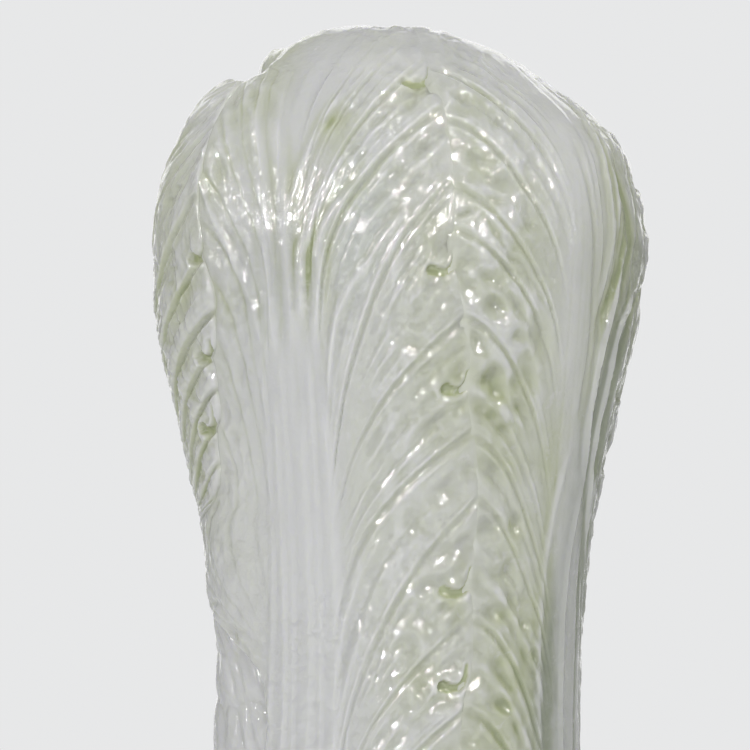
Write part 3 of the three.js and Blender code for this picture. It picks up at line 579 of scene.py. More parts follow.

# Clouds: angle, share, half width in degrees, half height as a share, strength. The olive and white ones lie inside
# the stone.
OLIVE_CLOUDS = [
    (27, 0.565, 12, 0.045, 0.8), (24, 0.66, 8, 0.04, 0.35), (33, 0.7, 9, 0.04, 0.3), (37, 0.452, 6, 0.03, 0.5),
    (36, 0.3, 16, 0.05, 0.9), (33, 0.385, 7, 0.03, 0.6), (12, 0.585, 7, 0.03, 0.35), (63, 0.72, 6, 0.05, 1.1),
    (64, 0.64, 6, 0.05, 0.9), (74, 0.56, 10, 0.1, 0.7), (84, 0.66, 10, 0.1, 0.7), (45, 0.525, 4, 0.03, 0.7),
    (48, 0.484, 5, 0.05, 0.8), (56, 0.4, 8, 0.06, 0.7), (54, 0.33, 12, 0.07, 1.0), (18, 0.406, 5, 0.02, 0.5),
    (7, 0.344, 6, 0.02, 0.3), (-78, 0.645, 12, 0.035, 0.8), (-60, 0.654, 7, 0.014, 0.7), (-45, 0.646, 6, 0.018, 0.6),
    (-72, 0.58, 10, 0.03, 0.5), (-82, 0.76, 14, 0.05, 0.6), (-64, 0.54, 6, 0.02, 0.7), (-88, 0.566, 10, 0.04, 0.9),
    (-74, 0.5, 8, 0.03, 0.6), (-20, 0.676, 5, 0.03, 0.9), (-15.5, 0.781, 5, 0.022, 0.8), (-25, 0.74, 5, 0.02, 0.5),
    (-43, 0.825, 10, 0.03, 0.6), (-48, 0.742, 5, 0.018, 0.5), (6, 0.827, 4, 0.014, 0.6),
    (23.5, 0.818, 5, 0.014, 0.5), (9, 0.692, 6, 0.03, 0.25), (120, 0.7, 25, 0.1, 0.7), (150, 0.5, 14, 0.06, 0.4),
    (185, 0.66, 20, 0.1, 0.8), (215, 0.75, 20, 0.07, 0.6), (205, 0.45, 12, 0.06, 0.6), (250, 0.68, 14, 0.08, 0.6),
    (30, 0.2, 20, 0.06, 0.5), (-45, 0.12, 20, 0.05, 0.2), (-55, 0.895, 12, 0.025, 0.6), (-68, 0.505, 8, 0.03, 0.5),
    (72, 0.5, 8, 0.05, 0.8), (60, 0.25, 14, 0.12, 0.8), (62, 0.42, 9, 0.08, 0.7), (45, 0.33, 8, 0.05, 0.8),
]
# Painted shade: a dark grey-green over the head's right and left sides, which turn away from the lamps.
SIDE_SHADE_CLOUDS = [
    (62, 0.49, 8, 0.08, 0.7), (57, 0.4, 7, 0.06, 0.6), (53, 0.32, 9, 0.05, 0.9), (66, 0.61, 8, 0.06, 0.7),
    (70, 0.71, 9, 0.04, 0.2), (78, 0.5, 13, 0.12, 1.0), (80, 0.28, 16, 0.14, 1.0), (-86, 0.63, 9, 0.05, 0.6),
    (-82, 0.5, 9, 0.05, 0.5), (66, 0.42, 8, 0.06, 0.9), (58, 0.3, 8, 0.08, 0.8), (62, 0.18, 9, 0.08, 0.8),
    (64, 0.56, 7, 0.06, 0.4), (80, 0.7, 10, 0.05, 0.5),
]
WHITE_CLOUDS = [
    (-62, 0.4, 22, 0.09, 1.0), (-50, 0.52, 10, 0.05, 0.7), (-31, 0.773, 6, 0.025, 0.6), (-38, 0.717, 8, 0.025, 0.7),
    (-20, 0.638, 5, 0.02, 0.4), (-4, 0.85, 16, 0.022, 0.9), (62, 0.855, 24, 0.03, 1.0), (70, 0.845, 12, 0.035, 1.0),
    (-62, 0.8, 11, 0.05, 1.0), (50, 0.775, 12, 0.045, 1.2), (46, 0.86, 20, 0.04, 0.8), (40, 0.733, 7, 0.03, 0.6),
    (42, 0.685, 4, 0.04, 0.7), (44, 0.622, 4, 0.05, 0.8), (50, 0.565, 3, 0.03, 0.5), (9, 0.5, 5, 0.025, 0.5),
    (9, 0.435, 6, 0.03, 0.5), (12, 0.754, 5, 0.018, 0.4), (150, 0.8, 20, 0.05, 0.8), (230, 0.55, 16, 0.06, 0.6),
    (170, 0.4, 16, 0.08, 0.8),
]


def clouds(table, angle, share):
    """How strongly a table's clouds show, from 0 to 1."""
    total = np.zeros_like(angle)
    for a, s, wide, high, strength in table:
        total += strength * bell(turned(angle, a), wide) * bell(share - s, high)
    return np.clip(total, 0, 1)


# Cords, and grooves with a negative height: half width and height in mm, olive
# beside a cord or in a groove, partly painted shade, and the path as (share, angle).
CORD_END = 0.025
CORDS = dict(
    right_leaf=[
        (1.0, 0.8, 0.35, [(0.64, 53.2), (0.69, 56.8), (0.74, 58), (0.777, 60), (0.798, 61.8), (0.818, 66.5),
                          (0.85, 78)]),
        (0.6, 0.45, 0.1, [(0.65, 52.8), (0.728, 52.8), (0.775, 53.4)]),
        (0.7, 0.5, 0.2, [(0.7, 59.5), (0.741, 61.8), (0.775, 63.5), (0.8, 68), (0.83, 78)]),
        (1.9, -0.7, 0.6, [(0.615, 54), (0.64, 56.4), (0.666, 60.8), (0.69, 65), (0.73, 65), (0.765, 63.5)]),
        (1.3, 1.1, 0.3, [(0.5, 62.5), (0.533, 59.5), (0.557, 58.2), (0.6, 57.5), (0.64, 59.5), (0.673, 62),
                         (0.7, 65.5)]),
        (0.8, -0.45, 0.4, [(0.55, 53.5), (0.598, 52.5), (0.653, 50.8), (0.708, 49.8), (0.77, 48)]),
        (1.1, 1.0, 0.3, [(0.44, 73), (0.485, 68.4), (0.525, 65), (0.571, 64.6), (0.617, 64.4), (0.644, 68.8),
                         (0.66, 74)]),
        (1.4, -0.9, 0.5, [(0.5, 70.5), (0.545, 69.5), (0.594, 68.8), (0.633, 71.5), (0.65, 76.5)]),
        (1.0, 0.35, 0.25, [(0.26, 50), (0.36, 48), (0.46, 49), (0.53, 52)]),
        (0.9, 0.45, 0.3, [(0.24, 62), (0.34, 60), (0.44, 60), (0.5, 62.5)]),
        (0.9, -0.35, 0.3, [(0.26, 72), (0.36, 71), (0.45, 69)]),
    ],
    front_leaf=[
        (1.1, 0.45, 0.1, [(0.6, -33), (0.645, -35.5), (0.69, -41.5), (0.73, -49.8), (0.76, -57)]),
        (1.3, 0.45, 0.3, [(0.6, -30), (0.653, -30.3), (0.694, -30.8), (0.751, -33.2), (0.813, -42.2)]),
        (1.3, 0.45, 0.4, [(0.6, -24.7), (0.645, -25), (0.679, -25.4), (0.738, -27), (0.791, -31.5)]),
        (1.1, 0.5, 0.4, [(0.62, -22.5), (0.679, -22), (0.7, -20), (0.725, -17.5), (0.763, -12.5)]),
        (0.9, 0.45, 0.3, [(0.71, -25), (0.745, -22.8), (0.768, -20.8), (0.8, -17.8), (0.83, -13)]),
        (1.2, 0.5, 0.5, [(0.61, -19.5), (0.668, -18), (0.696, -17), (0.717, -13.8), (0.746, -7.2), (0.767, -3)]),
        (1.0, 0.5, 0.2, [(0.57, -16.8), (0.606, -16), (0.639, -13.2), (0.681, -5.8), (0.707, -0.5), (0.723, 2.5)]),
        (1.2, 0.4, 0.05, [(0.0, -42), (0.2, -40.5), (0.34, -36), (0.46, -34.5), (0.56, -32)]),
        (0.8, 0.22, 0.05, [(0.12, -37), (0.25, -34.5), (0.42, -32), (0.6, -29)]),
        (1.5, 0.4, 0.05, [(0.0, -29), (0.2, -30), (0.36, -27), (0.54, -25.5)]),
        (0.7, 0.25, 0.05, [(0.16, -25.5), (0.3, -24), (0.45, -23), (0.6, -21.5)]),
        (1.3, 0.4, 0.1, [(0.0, -18), (0.2, -20.5), (0.38, -18.5), (0.56, -18.5)]),
        (0.8, 0.3, 0.05, [(0.24, -45), (0.34, -42), (0.46, -38), (0.6, -34)]),
        (0.7, 0.25, 0.05, [(0.0, -12), (0.1, -14), (0.22, -16), (0.34, -15)]),
    ],
)


def cord_relief(leaf, angle, share, height, olive):
    """Adds the traced cords and grooves of a leaf."""
    for wide, high, tint, path in CORDS.get(leaf["name"], []):
        d = (angle - along(path, share)) * arc_mm(angle, share)
        first, last = path[0][0], path[-1][0]
        ends = between(share, first - 0.01, first + CORD_END, last - CORD_END, last + 0.01)
        beside = bell(d + 1.9 * wide, 0.8 * wide) + bell(d - 1.9 * wide, 0.8 * wide)
        height += high * ends * (ridge(d, wide) - 0.12 * beside)
        # Olive in the low ground beside a cord and along a groove: partly painted shade.
        olive += tint * ends * (beside * 0.8 if high > 0 else bell(d, 1.2 * wide))


# The J of a drilled curl: x and y from the leaf's edge and the drill's radius, in mm.
CURL_SPINE = [(-5.0, 0.0, 1.45), (-3.6, -0.6, 1.2), (-1.8, -0.4, 0.95), (-0.7, 0.6, 0.8), (-0.1, 2.2, 0.65),
              (0.1, 4.6, 0.5)]
CURL_DEPTH_MM = 1.45
CURL_REACH_MM = 10


def curl_relief(leaf, angle, share, height, olive, overlap):
    """Drills the curls into a leaf's free right edge."""
    for number, at in enumerate(leaf["curls"]):
        edge = float(lobed_edge(leaf, np.array([at]))[0])
        window = window_round(angle, share, (edge, at), CURL_REACH_MM)
        if not window:
            continue
        a, s = angle[window], share[window]
        x = (a - edge) * arc_mm(edge, at)
        y = (s - at) * OUTLINE_LENGTH
        scale = 0.85 + 0.35 * ((number * 37 + leaf["seed"]) % 7) / 6
        inside, near = np.full_like(x, 9.0), np.zeros_like(x)
        for (x0, y0, r0), (x1, y1, r1) in zip(CURL_SPINE, CURL_SPINE[1:]):
            right, up, dx, dy = x - x0 * scale, y - y0 * scale, (x1 - x0) * scale, (y1 - y0) * scale
            part = np.clip((right * dx + up * dy) / (dx * dx + dy * dy), 0, 1)
            radius = r0 + part * (r1 - r0)
            away = np.hypot(right - part * dx, up - part * dy) - radius
            near = np.where(away < inside, radius, near)
            inside = np.minimum(inside, away)
        cut = 1 - step(inside, -0.5, 0.3)
        height[window] = height[window] * (1 - cut) - CURL_DEPTH_MM * cut * np.clip(near - 0.3, 0.15, 1)
        overlap[window] = np.maximum(overlap[window], cut)
        height[window] += 0.25 * bell(inside - 0.9, 0.7) * (1 - cut) * (y < 0.5)
        # Deep olive fills the drilled curl: painted shade in the hole, partly the stone's olive.
        olive[window] = np.maximum(olive[window] * (1 - cut), 1.2 * cut)


# How far the left shoulder lies back, as (share, mm): a ledge and two lobes.
LEFT_SHOULDER = [(0.83, 0), (0.838, 0.4), (0.85, 2.3), (0.868, 4.2), (0.882, 1.9), (0.8915, 1.0), (0.903, 1.4),
                 (0.912, 1.7), (0.919, 0.7), (0.926, 0)]
LEFT_CHEEK_MM = 1.2
RIGHT_SHOULDER_MM = 1.2


def left_shoulder(leaf, angle, share):
    """How far the front and left leaves lie back above the left leaf's tip."""
    back = along(LEFT_SHOULDER, share)
    if leaf is LEFT:
        return back * between(angle, 212, 230, 254, 264)
    return back * (1 - step(angle, -64, -48)) * (leaf is FRONT)


def left_cheek(leaf, angle, share):
    """The left leaf lies back a little where the head is widest."""
    place = between(angle, 250, 264, 300, 310) * between(share, 0.62, 0.68, 0.78, 0.83)
    return LEFT_CHEEK_MM * place * (leaf is LEFT)


def right_shoulder(angle, share):
    """The leaves lie back a little on the right, under the shoulder."""
    return RIGHT_SHOULDER_MM * between(angle, 56, 70, 108, 125) * between(share, 0.69, 0.75, 0.9, 0.95)


def blade_relief(leaf, angle, share, blade, height, olive):
    """Adds the veins and hollows of both half blades, and returns the reach from the midrib."""
    middle = along(leaf["midrib"], share)
    reach = np.zeros_like(angle)
    sides = [Side(leaf, -1), Side(leaf, 1)]
    for side in sides:
        relief, tint, q = side_relief(side, angle, share)
        here = (angle - middle) * side.sign >= 0
        gain = blade * step(q, 0.0, side.look["rise"]) * (1 - 0.85 * step(share, *CROWN_SHARES))
        gain = gain * (1 - 0.7 * step(share, *side.look["calm"])) * step(share, *side.look["wakes"])
        height += np.where(here, relief * gain, 0)
        olive += np.where(here, tint * gain, 0)
        reach = np.where(here, q, reach)
    for side in sides:
        scatter_hollows(side, angle, share, height, olive)
    for a, s, long_mm, wide_mm, deep_mm, tilt in BIG_HOLLOWS.get(leaf["name"], []):
        scoop(angle, share, height, olive, (a, s), long_mm, wide_mm, deep_mm, np.radians(tilt))
    return reach


def stalk_relief(leaf, across, share, blade, height, olive):
    """Adds the raised midrib and the fine lines that run up the stalk."""
    seed, end = leaf["seed"], leaf["stripes_end"]
    height += leaf["rib_height"] * plateau(across, 0.95) * between(share, 0, 0.05, 0.42, 0.7)
    wander = 0.6 * noise(across * 0.8 + 9, share * 5, seed + 2)
    lines = (0.6 * np.sin((across * 1.9 + wander) * 2 * np.pi)
             + 0.4 * np.sin((across * 3.7 - wander + 0.3) * 2 * np.pi))
    stalk = plateau(across, 1.25, 6) * (1 - step(share, end - 0.12, end))
    stalk = np.maximum(stalk, (1 - blade) * plateau(across, 3.5, 6))
    height += leaf["stripes"] * lines * stalk * (0.5 + 0.6 * noise(across * 2, share * 10, seed + 3))
    # Olive in the stalk's low lines: partly painted shade.
    olive += 0.35 * step(-lines, 0.1, 0.8) * plateau(across, 1.3) * bell(share - 0.6, 0.13)


def ripples(x, y, blade, reach, seed):
    """The broad and small unevenness of the carved surface, in mm."""
    broad = 0.3 * noise(x, y, seed + 4) + 0.18 * noise(x * 2.7, y * 2.7, seed + 5)
    small = (0.15 * noise(x * 6, y * 6, seed + 12) + 0.06 * noise(x * 11, y * 9, seed + 13)
             + 0.2 * noise(x * 3.6, y * 2.6, seed + 15))
    return broad * blade * step(reach, 0.1, 0.6) + small * (0.25 + 0.75 * blade * step(reach, 0.0, 0.5))


def edge_lift(leaf, share, edge_mm):
    """How far the lobes of a flared free edge stand out, in mm."""
    free = fade(edge_mm, leaf["flare_mm"])
    free = free * between(share, 0.4, 0.48, leaf["flare_end"] - 0.06, leaf["flare_end"])
    ruffle = 0.85 + 0.15 * np.sin(share * OUTLINE_LENGTH / 2.4 + leaf["seed"])
    return leaf["flare"] * (1.9 * lobe_bulge(leaf, share) - 0.8) * ruffle * free


def leaf_surfaces(leaf):
    """Outer and inner points of a leaf with the values its material reads."""
    angle, share = leaf_grid(leaf)
    seed, mm = leaf["seed"], arc_mm(angle, share)
    x, y = angle * mm / 11, share * OUTLINE_LENGTH / 15
    across = (angle - along(leaf["midrib"], share)) / np.maximum(along(leaf["rib"], share), 6)
    edge_mm = (lobed_edge(leaf, share) - angle) * mm
    left_mm = (angle - left_edge(leaf, share)) * mm
    top_mm = (share[-1:, :] - share) * OUTLINE_LENGTH
    beyond = beyond_seam(leaf, angle, share)
    blade = step(share, *BLADE_SHARES)

    height, olive = np.zeros_like(angle), np.zeros_like(angle)
    reach = blade_relief(leaf, angle, share, blade, height, olive)
    stalk_relief(leaf, across, share, blade, height, olive)
    height += ripples(x, y, blade, reach, seed)
    height *= 1 - SEAM_CALM * fade(beyond, SEAM_CALM_MM)
    if leaf is not RIGHT:  # its relief runs out to the free edge
        height *= 1 - SEAM_CALM * fade(edge_mm, SEAM_CALM_MM)
    cord_relief(leaf, angle, share, height, olive)
    overlap = np.maximum(bell(edge_mm, OVERLAP_MM), bell(np.maximum(beyond, 0), OVERLAP_MM))
    curl_relief(leaf, angle, share, height, olive, overlap)
    lift = edge_lift(leaf, share, edge_mm)
    rounding = RIM_ROUNDING_MM if leaf["flare"] else SEAM_ROUNDING_MM
    height += lift - rounding * fade(edge_mm, 0.6) * step(share, 0.02, 0.1)
    height -= RIM_ROUNDING_MM * fade(top_mm, 0.8) + LEFT_RIM_ROUNDING_MM * fade(left_mm, 0.8) * (beyond > 1)

    seam_step = SEAM_STEP_MM * (1 + 0.8 * noise(share * 34, share * 0 + 2.5, seed + 7))
    dip = seam_step * fade(beyond, 2.0) + 0.55 * step(-beyond, -0.15, 1.3)
    dip = dip + left_shoulder(leaf, angle, share) + left_cheek(leaf, angle, share) + right_shoulder(angle, share)
    lap = step(beyond, *TUCK_MM)
    depth = TONGUE_DEPTH * (1 - lap) + (dip - height) * lap
    flap = 1 - step(edge_mm, LAP_MM - 1.0, LAP_MM + 0.5)
    inner_depth = LEAF_DEPTH * (1 - flap) + (EDGE_THICKNESS - 0.75 * np.maximum(lift, 0)) * flap
    inner_depth = np.maximum(inner_depth, depth + THINNEST_MM)

    # Olive along the seam under the neighbour's edge: painted shade in the crease.
    crease = fade(beyond, 1.3) * blade * (0.08 + 0.4 * noise(share * 30, share * 0, seed + 8))
    # The olive clouds grow stronger where the relief lies lower: painted shade in the low parts.
    tint = clouds(OLIVE_CLOUDS, angle, share) * 0.8 * (0.75 + 0.7 * np.clip(0.2 - height, 0, 0.6))
    milk_and_painted_light = clouds(WHITE_CLOUDS, angle, share) * (0.8 + 0.25 * noise(x * 3, y * 3, seed + 14))
    stem = plateau(across, 1.15) * (1 - step(share, *STEM_SHARES)) * leaf["white_stalk"]
    values = dict(olive=np.clip(np.maximum(olive, crease) * (1 - 0.5 * milk_and_painted_light) + tint, 0, 1.2),
                  stem=np.maximum(stem, 1 - step(share, *FOOT_SHARES)), raised=np.clip(height, -1.2, 1.2),
                  milk_and_painted_light=milk_and_painted_light, painted_side_shade=clouds(SIDE_SHADE_CLOUDS, angle, share), overlap=overlap)
    return envelope(angle, share, depth), envelope(angle, share, inner_depth), values


# ---------------------------------------------------------------- meshes
LEAF_SHARP_ANGLE = 62
LATHE_SHARP_ANGLE = 35
CARVED_SHARP_ANGLE = 40


def add_object(name, data):
    """Puts a mesh, lamp or camera into the scene."""
    obj = bpy.data.objects.new(name, data)
    bpy.context.scene.collection.objects.link(obj)
    return obj


def make_object(name, points_mm, faces, smooth=True):
    """A mesh object from points in mm."""
    mesh = bpy.data.meshes.new(name)
    mesh.from_pydata((np.asarray(points_mm, float) * MM).tolist(), [], faces)
    mesh.update()
    if smooth:
        mesh.shade_smooth()
    return add_object(name, mesh)


def store(obj, **values):
    """Keeps one number per vertex for the material to read."""
    for name, value in values.items():
        layer = obj.data.attributes.new(name, "FLOAT", "POINT")
        layer.data.foreach_set("value", np.ascontiguousarray(value, dtype=np.float32).ravel())


def closed_sheet(name, outer, inner, values):
    """A closed shell: a fine outer grid, a coarse inner grid, and rims that join them."""
    rows, columns = outer.shape[0] - 1, outer.shape[1] - 1
    ids = np.arange(outer.shape[0] * outer.shape[1]).reshape(outer.shape[:2])
    i, j = np.indices(outer.shape[:2])
    kept = (i == 0) | (i == rows) | (j == 0) | (j == columns) | ((i % COARSE == 0) & (j % COARSE == 0))
    back = np.full(outer.shape[:2], -1)
    back[kept] = ids.size + np.arange(kept.sum())
    points = np.vstack([outer.reshape(-1, 3), inner[kept]])
    quads = np.stack([ids[:-1, :-1], ids[:-1, 1:], ids[1:, 1:], ids[1:, :-1]], -1).reshape(-1, 4)
    faces = quads.tolist()
    faces += np.stack([back[0, :-1], back[0, 1:], ids[0, 1:], ids[0, :-1]], -1).tolist()
    faces += np.stack([ids[-1, :-1], ids[-1, 1:], back[-1, 1:], back[-1, :-1]], -1).tolist()
    faces += np.stack([back[:-1, 0], ids[:-1, 0], ids[1:, 0], back[1:, 0]], -1).tolist()
    faces += np.stack([ids[:-1, -1], back[:-1, -1], back[1:, -1], ids[1:, -1]], -1).tolist()
    for r in range(0, rows, COARSE):
        for c in range(0, columns, COARSE):
            low = range(c, c + COARSE + 1) if r == 0 else (c, c + COARSE)
            high = range(c + COARSE, c - 1, -1) if r + COARSE == rows else (c + COARSE, c)
            side_up = range(r + 1, r + COARSE) if c + COARSE == columns else ()
            side_down = range(r + COARSE - 1, r, -1) if c == 0 else ()
            ring = [back[r, k] for k in low] + [back[k, c + COARSE] for k in side_up]
            ring += [back[r + COARSE, k] for k in high] + [back[k, c] for k in side_down]
            faces.append([int(k) for k in reversed(ring)])
    obj = make_object(name, points, faces)
    store(obj, **{key: np.r_[value.ravel(), value[kept]] for key, value in values.items()})
    obj.data.set_sharp_from_angle(angle=np.radians(LEAF_SHARP_ANGLE))
    return obj


def dress(obj, node, body, material):
    """Gives a piece its material and body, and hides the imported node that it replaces."""
    obj.data.materials.append(material)
    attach(obj, body)
    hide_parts(node)


def build_leaf(leaf, material):
    """One outer leaf with all of its carving."""
    outer, inner, values = leaf_surfaces(leaf)
    piece = closed_sheet("carved_" + leaf["name"], outer, inner, values)
    dress(piece, leaf["name"], "carving", material)


def build_inner_leaf(left, right, seed, material):
    """An inner leaf between two outer leaves: its stalk swells into their gap, its tip shows above."""
    turn = 360 if right is FRONT else 0
    rows, columns = 55 * COARSE, 14 * COARSE
    v = np.linspace(0, 1, rows + 1)[:, None]
    u = np.linspace(-1, 1, columns + 1)[None, :]
    tip = 0.978 - 0.03 * u**2 + 0.004 * noise(u * 7, u * 0, seed)
    share = v * tip
    gap_start = along(left["right"], share)
    gap_end = along(right["left"], share) + turn
    open_gap = step(gap_end - gap_start, 0, 18)
    start, end = along(left["midrib"], share) + 0.8, along(right["midrib"], share) + turn - 0.8  # degrees
    centre = (gap_start + gap_end) / 2
    half = np.maximum((gap_end - gap_start) / 2, 6)
    angle = np.where(u < 0, centre + u * (centre - start), centre + u * (end - centre))
    outside_mm = (np.abs(angle - centre) - half) * arc_mm(angle, share)
    crown = 1 - np.clip((angle - centre) / half, -1, 1) ** 2
    proud = (INNER_DEPTH - 3.0) * (1 - step(outside_mm, 0.2, 1.6)) + 1.7 * np.sqrt(crown)
    proud = proud + (2.0 * crown * (1 - step(share, 0.26, 0.4)) if right is FRONT else 0)
    depth = INNER_DEPTH - proud * open_gap
    across = (angle - centre) * arc_mm(angle, share)
    wander = noise(across / 6, share * 6, seed + 1)
    lines = np.sin(across / 2.3 * np.pi + wander * 3) * 0.06 * (0.5 + 0.5 * noise(across / 4, share * 12, seed + 2))
    rows_mm = share * OUTLINE_LENGTH
    folds = np.abs(noise(across / 4.5 + rows_mm / 14, rows_mm / 11, seed + 3)) ** 0.8
    facets = folds + 0.25 * noise(across / 2.6, rows_mm / 4.5, seed + 4)
    lines = lines + (facets - 0.3) * 0.75 * (1 - step(share, 0.5, 0.8))
    tip_fold = 0.5 * np.sin(across / 2.6) * step(share, 0.86, 0.95)
    depth = depth - lines - tip_fold * 0.6 - 3.0 * step(share, 0.945, 0.963)
    outer, inner = envelope(angle, share, depth), envelope(angle, share, INNER_DEPTH + INNER_THICKNESS)
    # Olive where the lines run low is painted shade in the grooves; the clouds' olive is the stone's.
    values = dict(olive=0.3 * step(-lines, 0, 0.2) + 0.4 * clouds(OLIVE_CLOUDS, angle, share),
                  stem=1 - step(share, 0.5, 0.9), raised=lines * 2, milk_and_painted_light=clouds(WHITE_CLOUDS, angle, share),
                  painted_side_shade=clouds(SIDE_SHADE_CLOUDS, angle, share))
    piece = closed_sheet("carved_inner_" + right["name"], outer, inner, values)
    dress(piece, "inner_" + right["name"], "carving", material)


def turned_faces(rows, sides):
    """The faces of a stack of rings whose last two points are its foot and its top."""
    ids = np.arange(rows * sides).reshape(rows, sides)
    following = np.roll(ids, -1, axis=1)
    foot, top = np.full(sides, rows * sides), np.full(sides, rows * sides + 1)
    faces = np.stack([ids[:-1], following[:-1], following[1:], ids[1:]], -1).reshape(-1, 4).tolist()
    faces += np.stack([foot, following[0], ids[0]], -1).tolist()
    return faces + np.stack([ids[-1], following[-1], top], -1).tolist()


def build_heart(material):
    """The heart, with small furled leaves swirled over its crown."""
    rows, sides = 270, 360
    share = np.linspace(0, 0.992, rows)[:, None] * np.ones((1, sides))
    angle = np.linspace(0, 360, sides, endpoint=False)[None, :] * np.ones((rows, 1))
    crown = step(share, 0.9, 0.96)
    turn = angle * HEART_LEAVES / 360 + (1 - share) * 9
    saw = turn - np.floor(turn)
    fold = 1.7 * saw**0.6 * crown - 0.9 * bell(saw, 0.06) * crown + 5.0 * step(share, 0.962, 0.985)
    veins = 0.16 * np.sin(turn * 2 * np.pi * 5) * crown
    ring = envelope(angle, share, HEART_DEPTH - fold - veins)
    lowest = min(envelope(0, 0, HEART_DEPTH)[2], envelope(90, 0, HEART_DEPTH)[2])
    points = np.vstack([ring.reshape(-1, 3), [[0, 0, lowest], ring[-1].mean(axis=0)]])
    points[:sides, 2] = lowest
    piece = make_object("carved_heart", points, turned_faces(rows, sides))
    # The olive in the folds of the furled leaves is painted shade; the milky white over the whole crown is painted
    # light that lifts the heart out of its shaded pit.
    values = dict(olive=0.5 * np.clip(1 - saw * 3, 0, 1) * crown, stem=1 - crown, raised=veins, milk_and_painted_light=crown)
    store(piece, **{key: np.r_[value.ravel(), 0, 0] for key, value in values.items()})
    dress(piece, "heart", "carving", material)


def lathe(name, profile, sides, shape):
    """A closed turned body from (radius, height) points that start and end on the axis.

    shape gives the mm added to a ring's radius at each turn, and the ring's depth for a width of 1.
    """
    turn = np.linspace(0, 2 * np.pi, sides, endpoint=False)
    rings = []
    for radius, height in profile[1:-1]:
        extra, flatness = shape(radius, height, turn)
        rings.append(np.stack([(radius + extra) * np.sin(turn), -(radius + extra) * np.cos(turn) * flatness,
                               np.full(sides, height)], -1))
    points = np.vstack(rings + [[[0, 0, profile[0][1]]], [[0, 0, profile[-1][1]]]])
    obj = make_object(name, points, turned_faces(len(rings), sides))
    obj.data.set_sharp_from_angle(angle=np.radians(LATHE_SHARP_ANGLE))
    return obj


def rounded(points, corner=0.5, steps=4):
    """Replaces each inner corner of a profile by a short arc."""
    out = [points[0]]
    for a, b, c in zip(points, points[1:], points[2:]):
        a, b, c = np.array(a, float), np.array(b, float), np.array(c, float)
        cut = min(corner, np.linalg.norm(b - a) * 0.45, np.linalg.norm(c - b) * 0.45)
        start = b + (a - b) / np.linalg.norm(a - b) * cut
        end = b + (c - b) / np.linalg.norm(c - b) * cut
        for s in np.linspace(0, 1, steps):
            out.append(tuple((1 - s) ** 2 * start + 2 * s * (1 - s) * b + s * s * end))
    return out + [points[-1]]


def build_root(material):
    """The trimmed root that fits the stand's socket, with fine grooves round it."""
    low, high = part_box("root_end")
    base, top = low[2] / MM, high[2] / MM
    lip = envelope(90, 0) - 0.7
    profile = [(0, base), (26.5, base), (28.5, base + 2), (28.5, 36.5), (lip[0], lip[2]), (24, top), (0, top)]

    def grooved(radius, height, turn):
        return 0.12 * np.sin(turn * 46) * (radius > 20), FLATNESS

    piece = lathe("carved_root_end", rounded(profile, 0.7), 220, grooved)
    count = len(piece.data.vertices)
    store(piece, olive=np.full(count, 0.05), stem=np.ones(count))
    dress(piece, "root_end", "carving", material)


# ---------------------------------------------------------------- the stand
STAND_RADIUS = 63
STAND_HEIGHT = 36
BOARD_BOTTOM = 28
PAD_HEIGHT = 1.2
APRON_TOP = 22
APRON_BOTTOM = 14
SOCKET_FLOOR = 26
SOCKET_RADIUS = 29.1
# The board's edge: mm in from its rim and mm up from its underside.
MOULDING = [(2.6, 0), (1.0, 0.5), (0, 2.2), (0.4, 4.2), (1.9, 4.9), (1.7, 5.4), (1.5, 6.2), (2.2, 7.1),
            (3.2, 7.7), (4.6, 7.7), (5.0, 8)]


def build_stand_top(material):
    """The turned board over its beaded waist, with the oval socket."""
    waist = STAND_RADIUS - 5.5
    neck = waist - 0.9
    profile = [(0, APRON_TOP), (waist, APRON_TOP), (waist, APRON_TOP + 1.2), (neck, APRON_TOP + 1.7),
               (neck, BOARD_BOTTOM - 1.7), (waist, BOARD_BOTTOM - 1.2), (waist, BOARD_BOTTOM)]
    profile += [(STAND_RADIUS - inward, BOARD_BOTTOM + up) for inward, up in MOULDING]
    profile += [(SOCKET_RADIUS + 2.8, STAND_HEIGHT), (SOCKET_RADIUS + 0.3, STAND_HEIGHT - 0.25),
                (SOCKET_RADIUS, STAND_HEIGHT - 0.8), (SOCKET_RADIUS, SOCKET_FLOOR), (0, SOCKET_FLOOR)]

    def beaded(radius, height, turn):
        in_socket = radius <= STAND_RADIUS - 8 and height >= SOCKET_FLOOR - 1
        return 0.35 * np.cos(turn * 40) * (abs(radius - neck) < 0.2), FLATNESS if in_socket else 1.0

    piece = lathe("turned_stand_top", rounded(profile, 0.35, 3), 240, beaded)
    dress(piece, "stand_top", "stand", material)


# The spirals of one carved cloud: x and y from its middle, and size, with 1 for half its panel.
CLOUD_SPIRALS = [(0, 0.15, 0.34), (0.3, -0.2, 0.26), (-0.3, -0.2, 0.26), (0.62, 0.25, 0.2), (-0.62, 0.25, 0.2)]


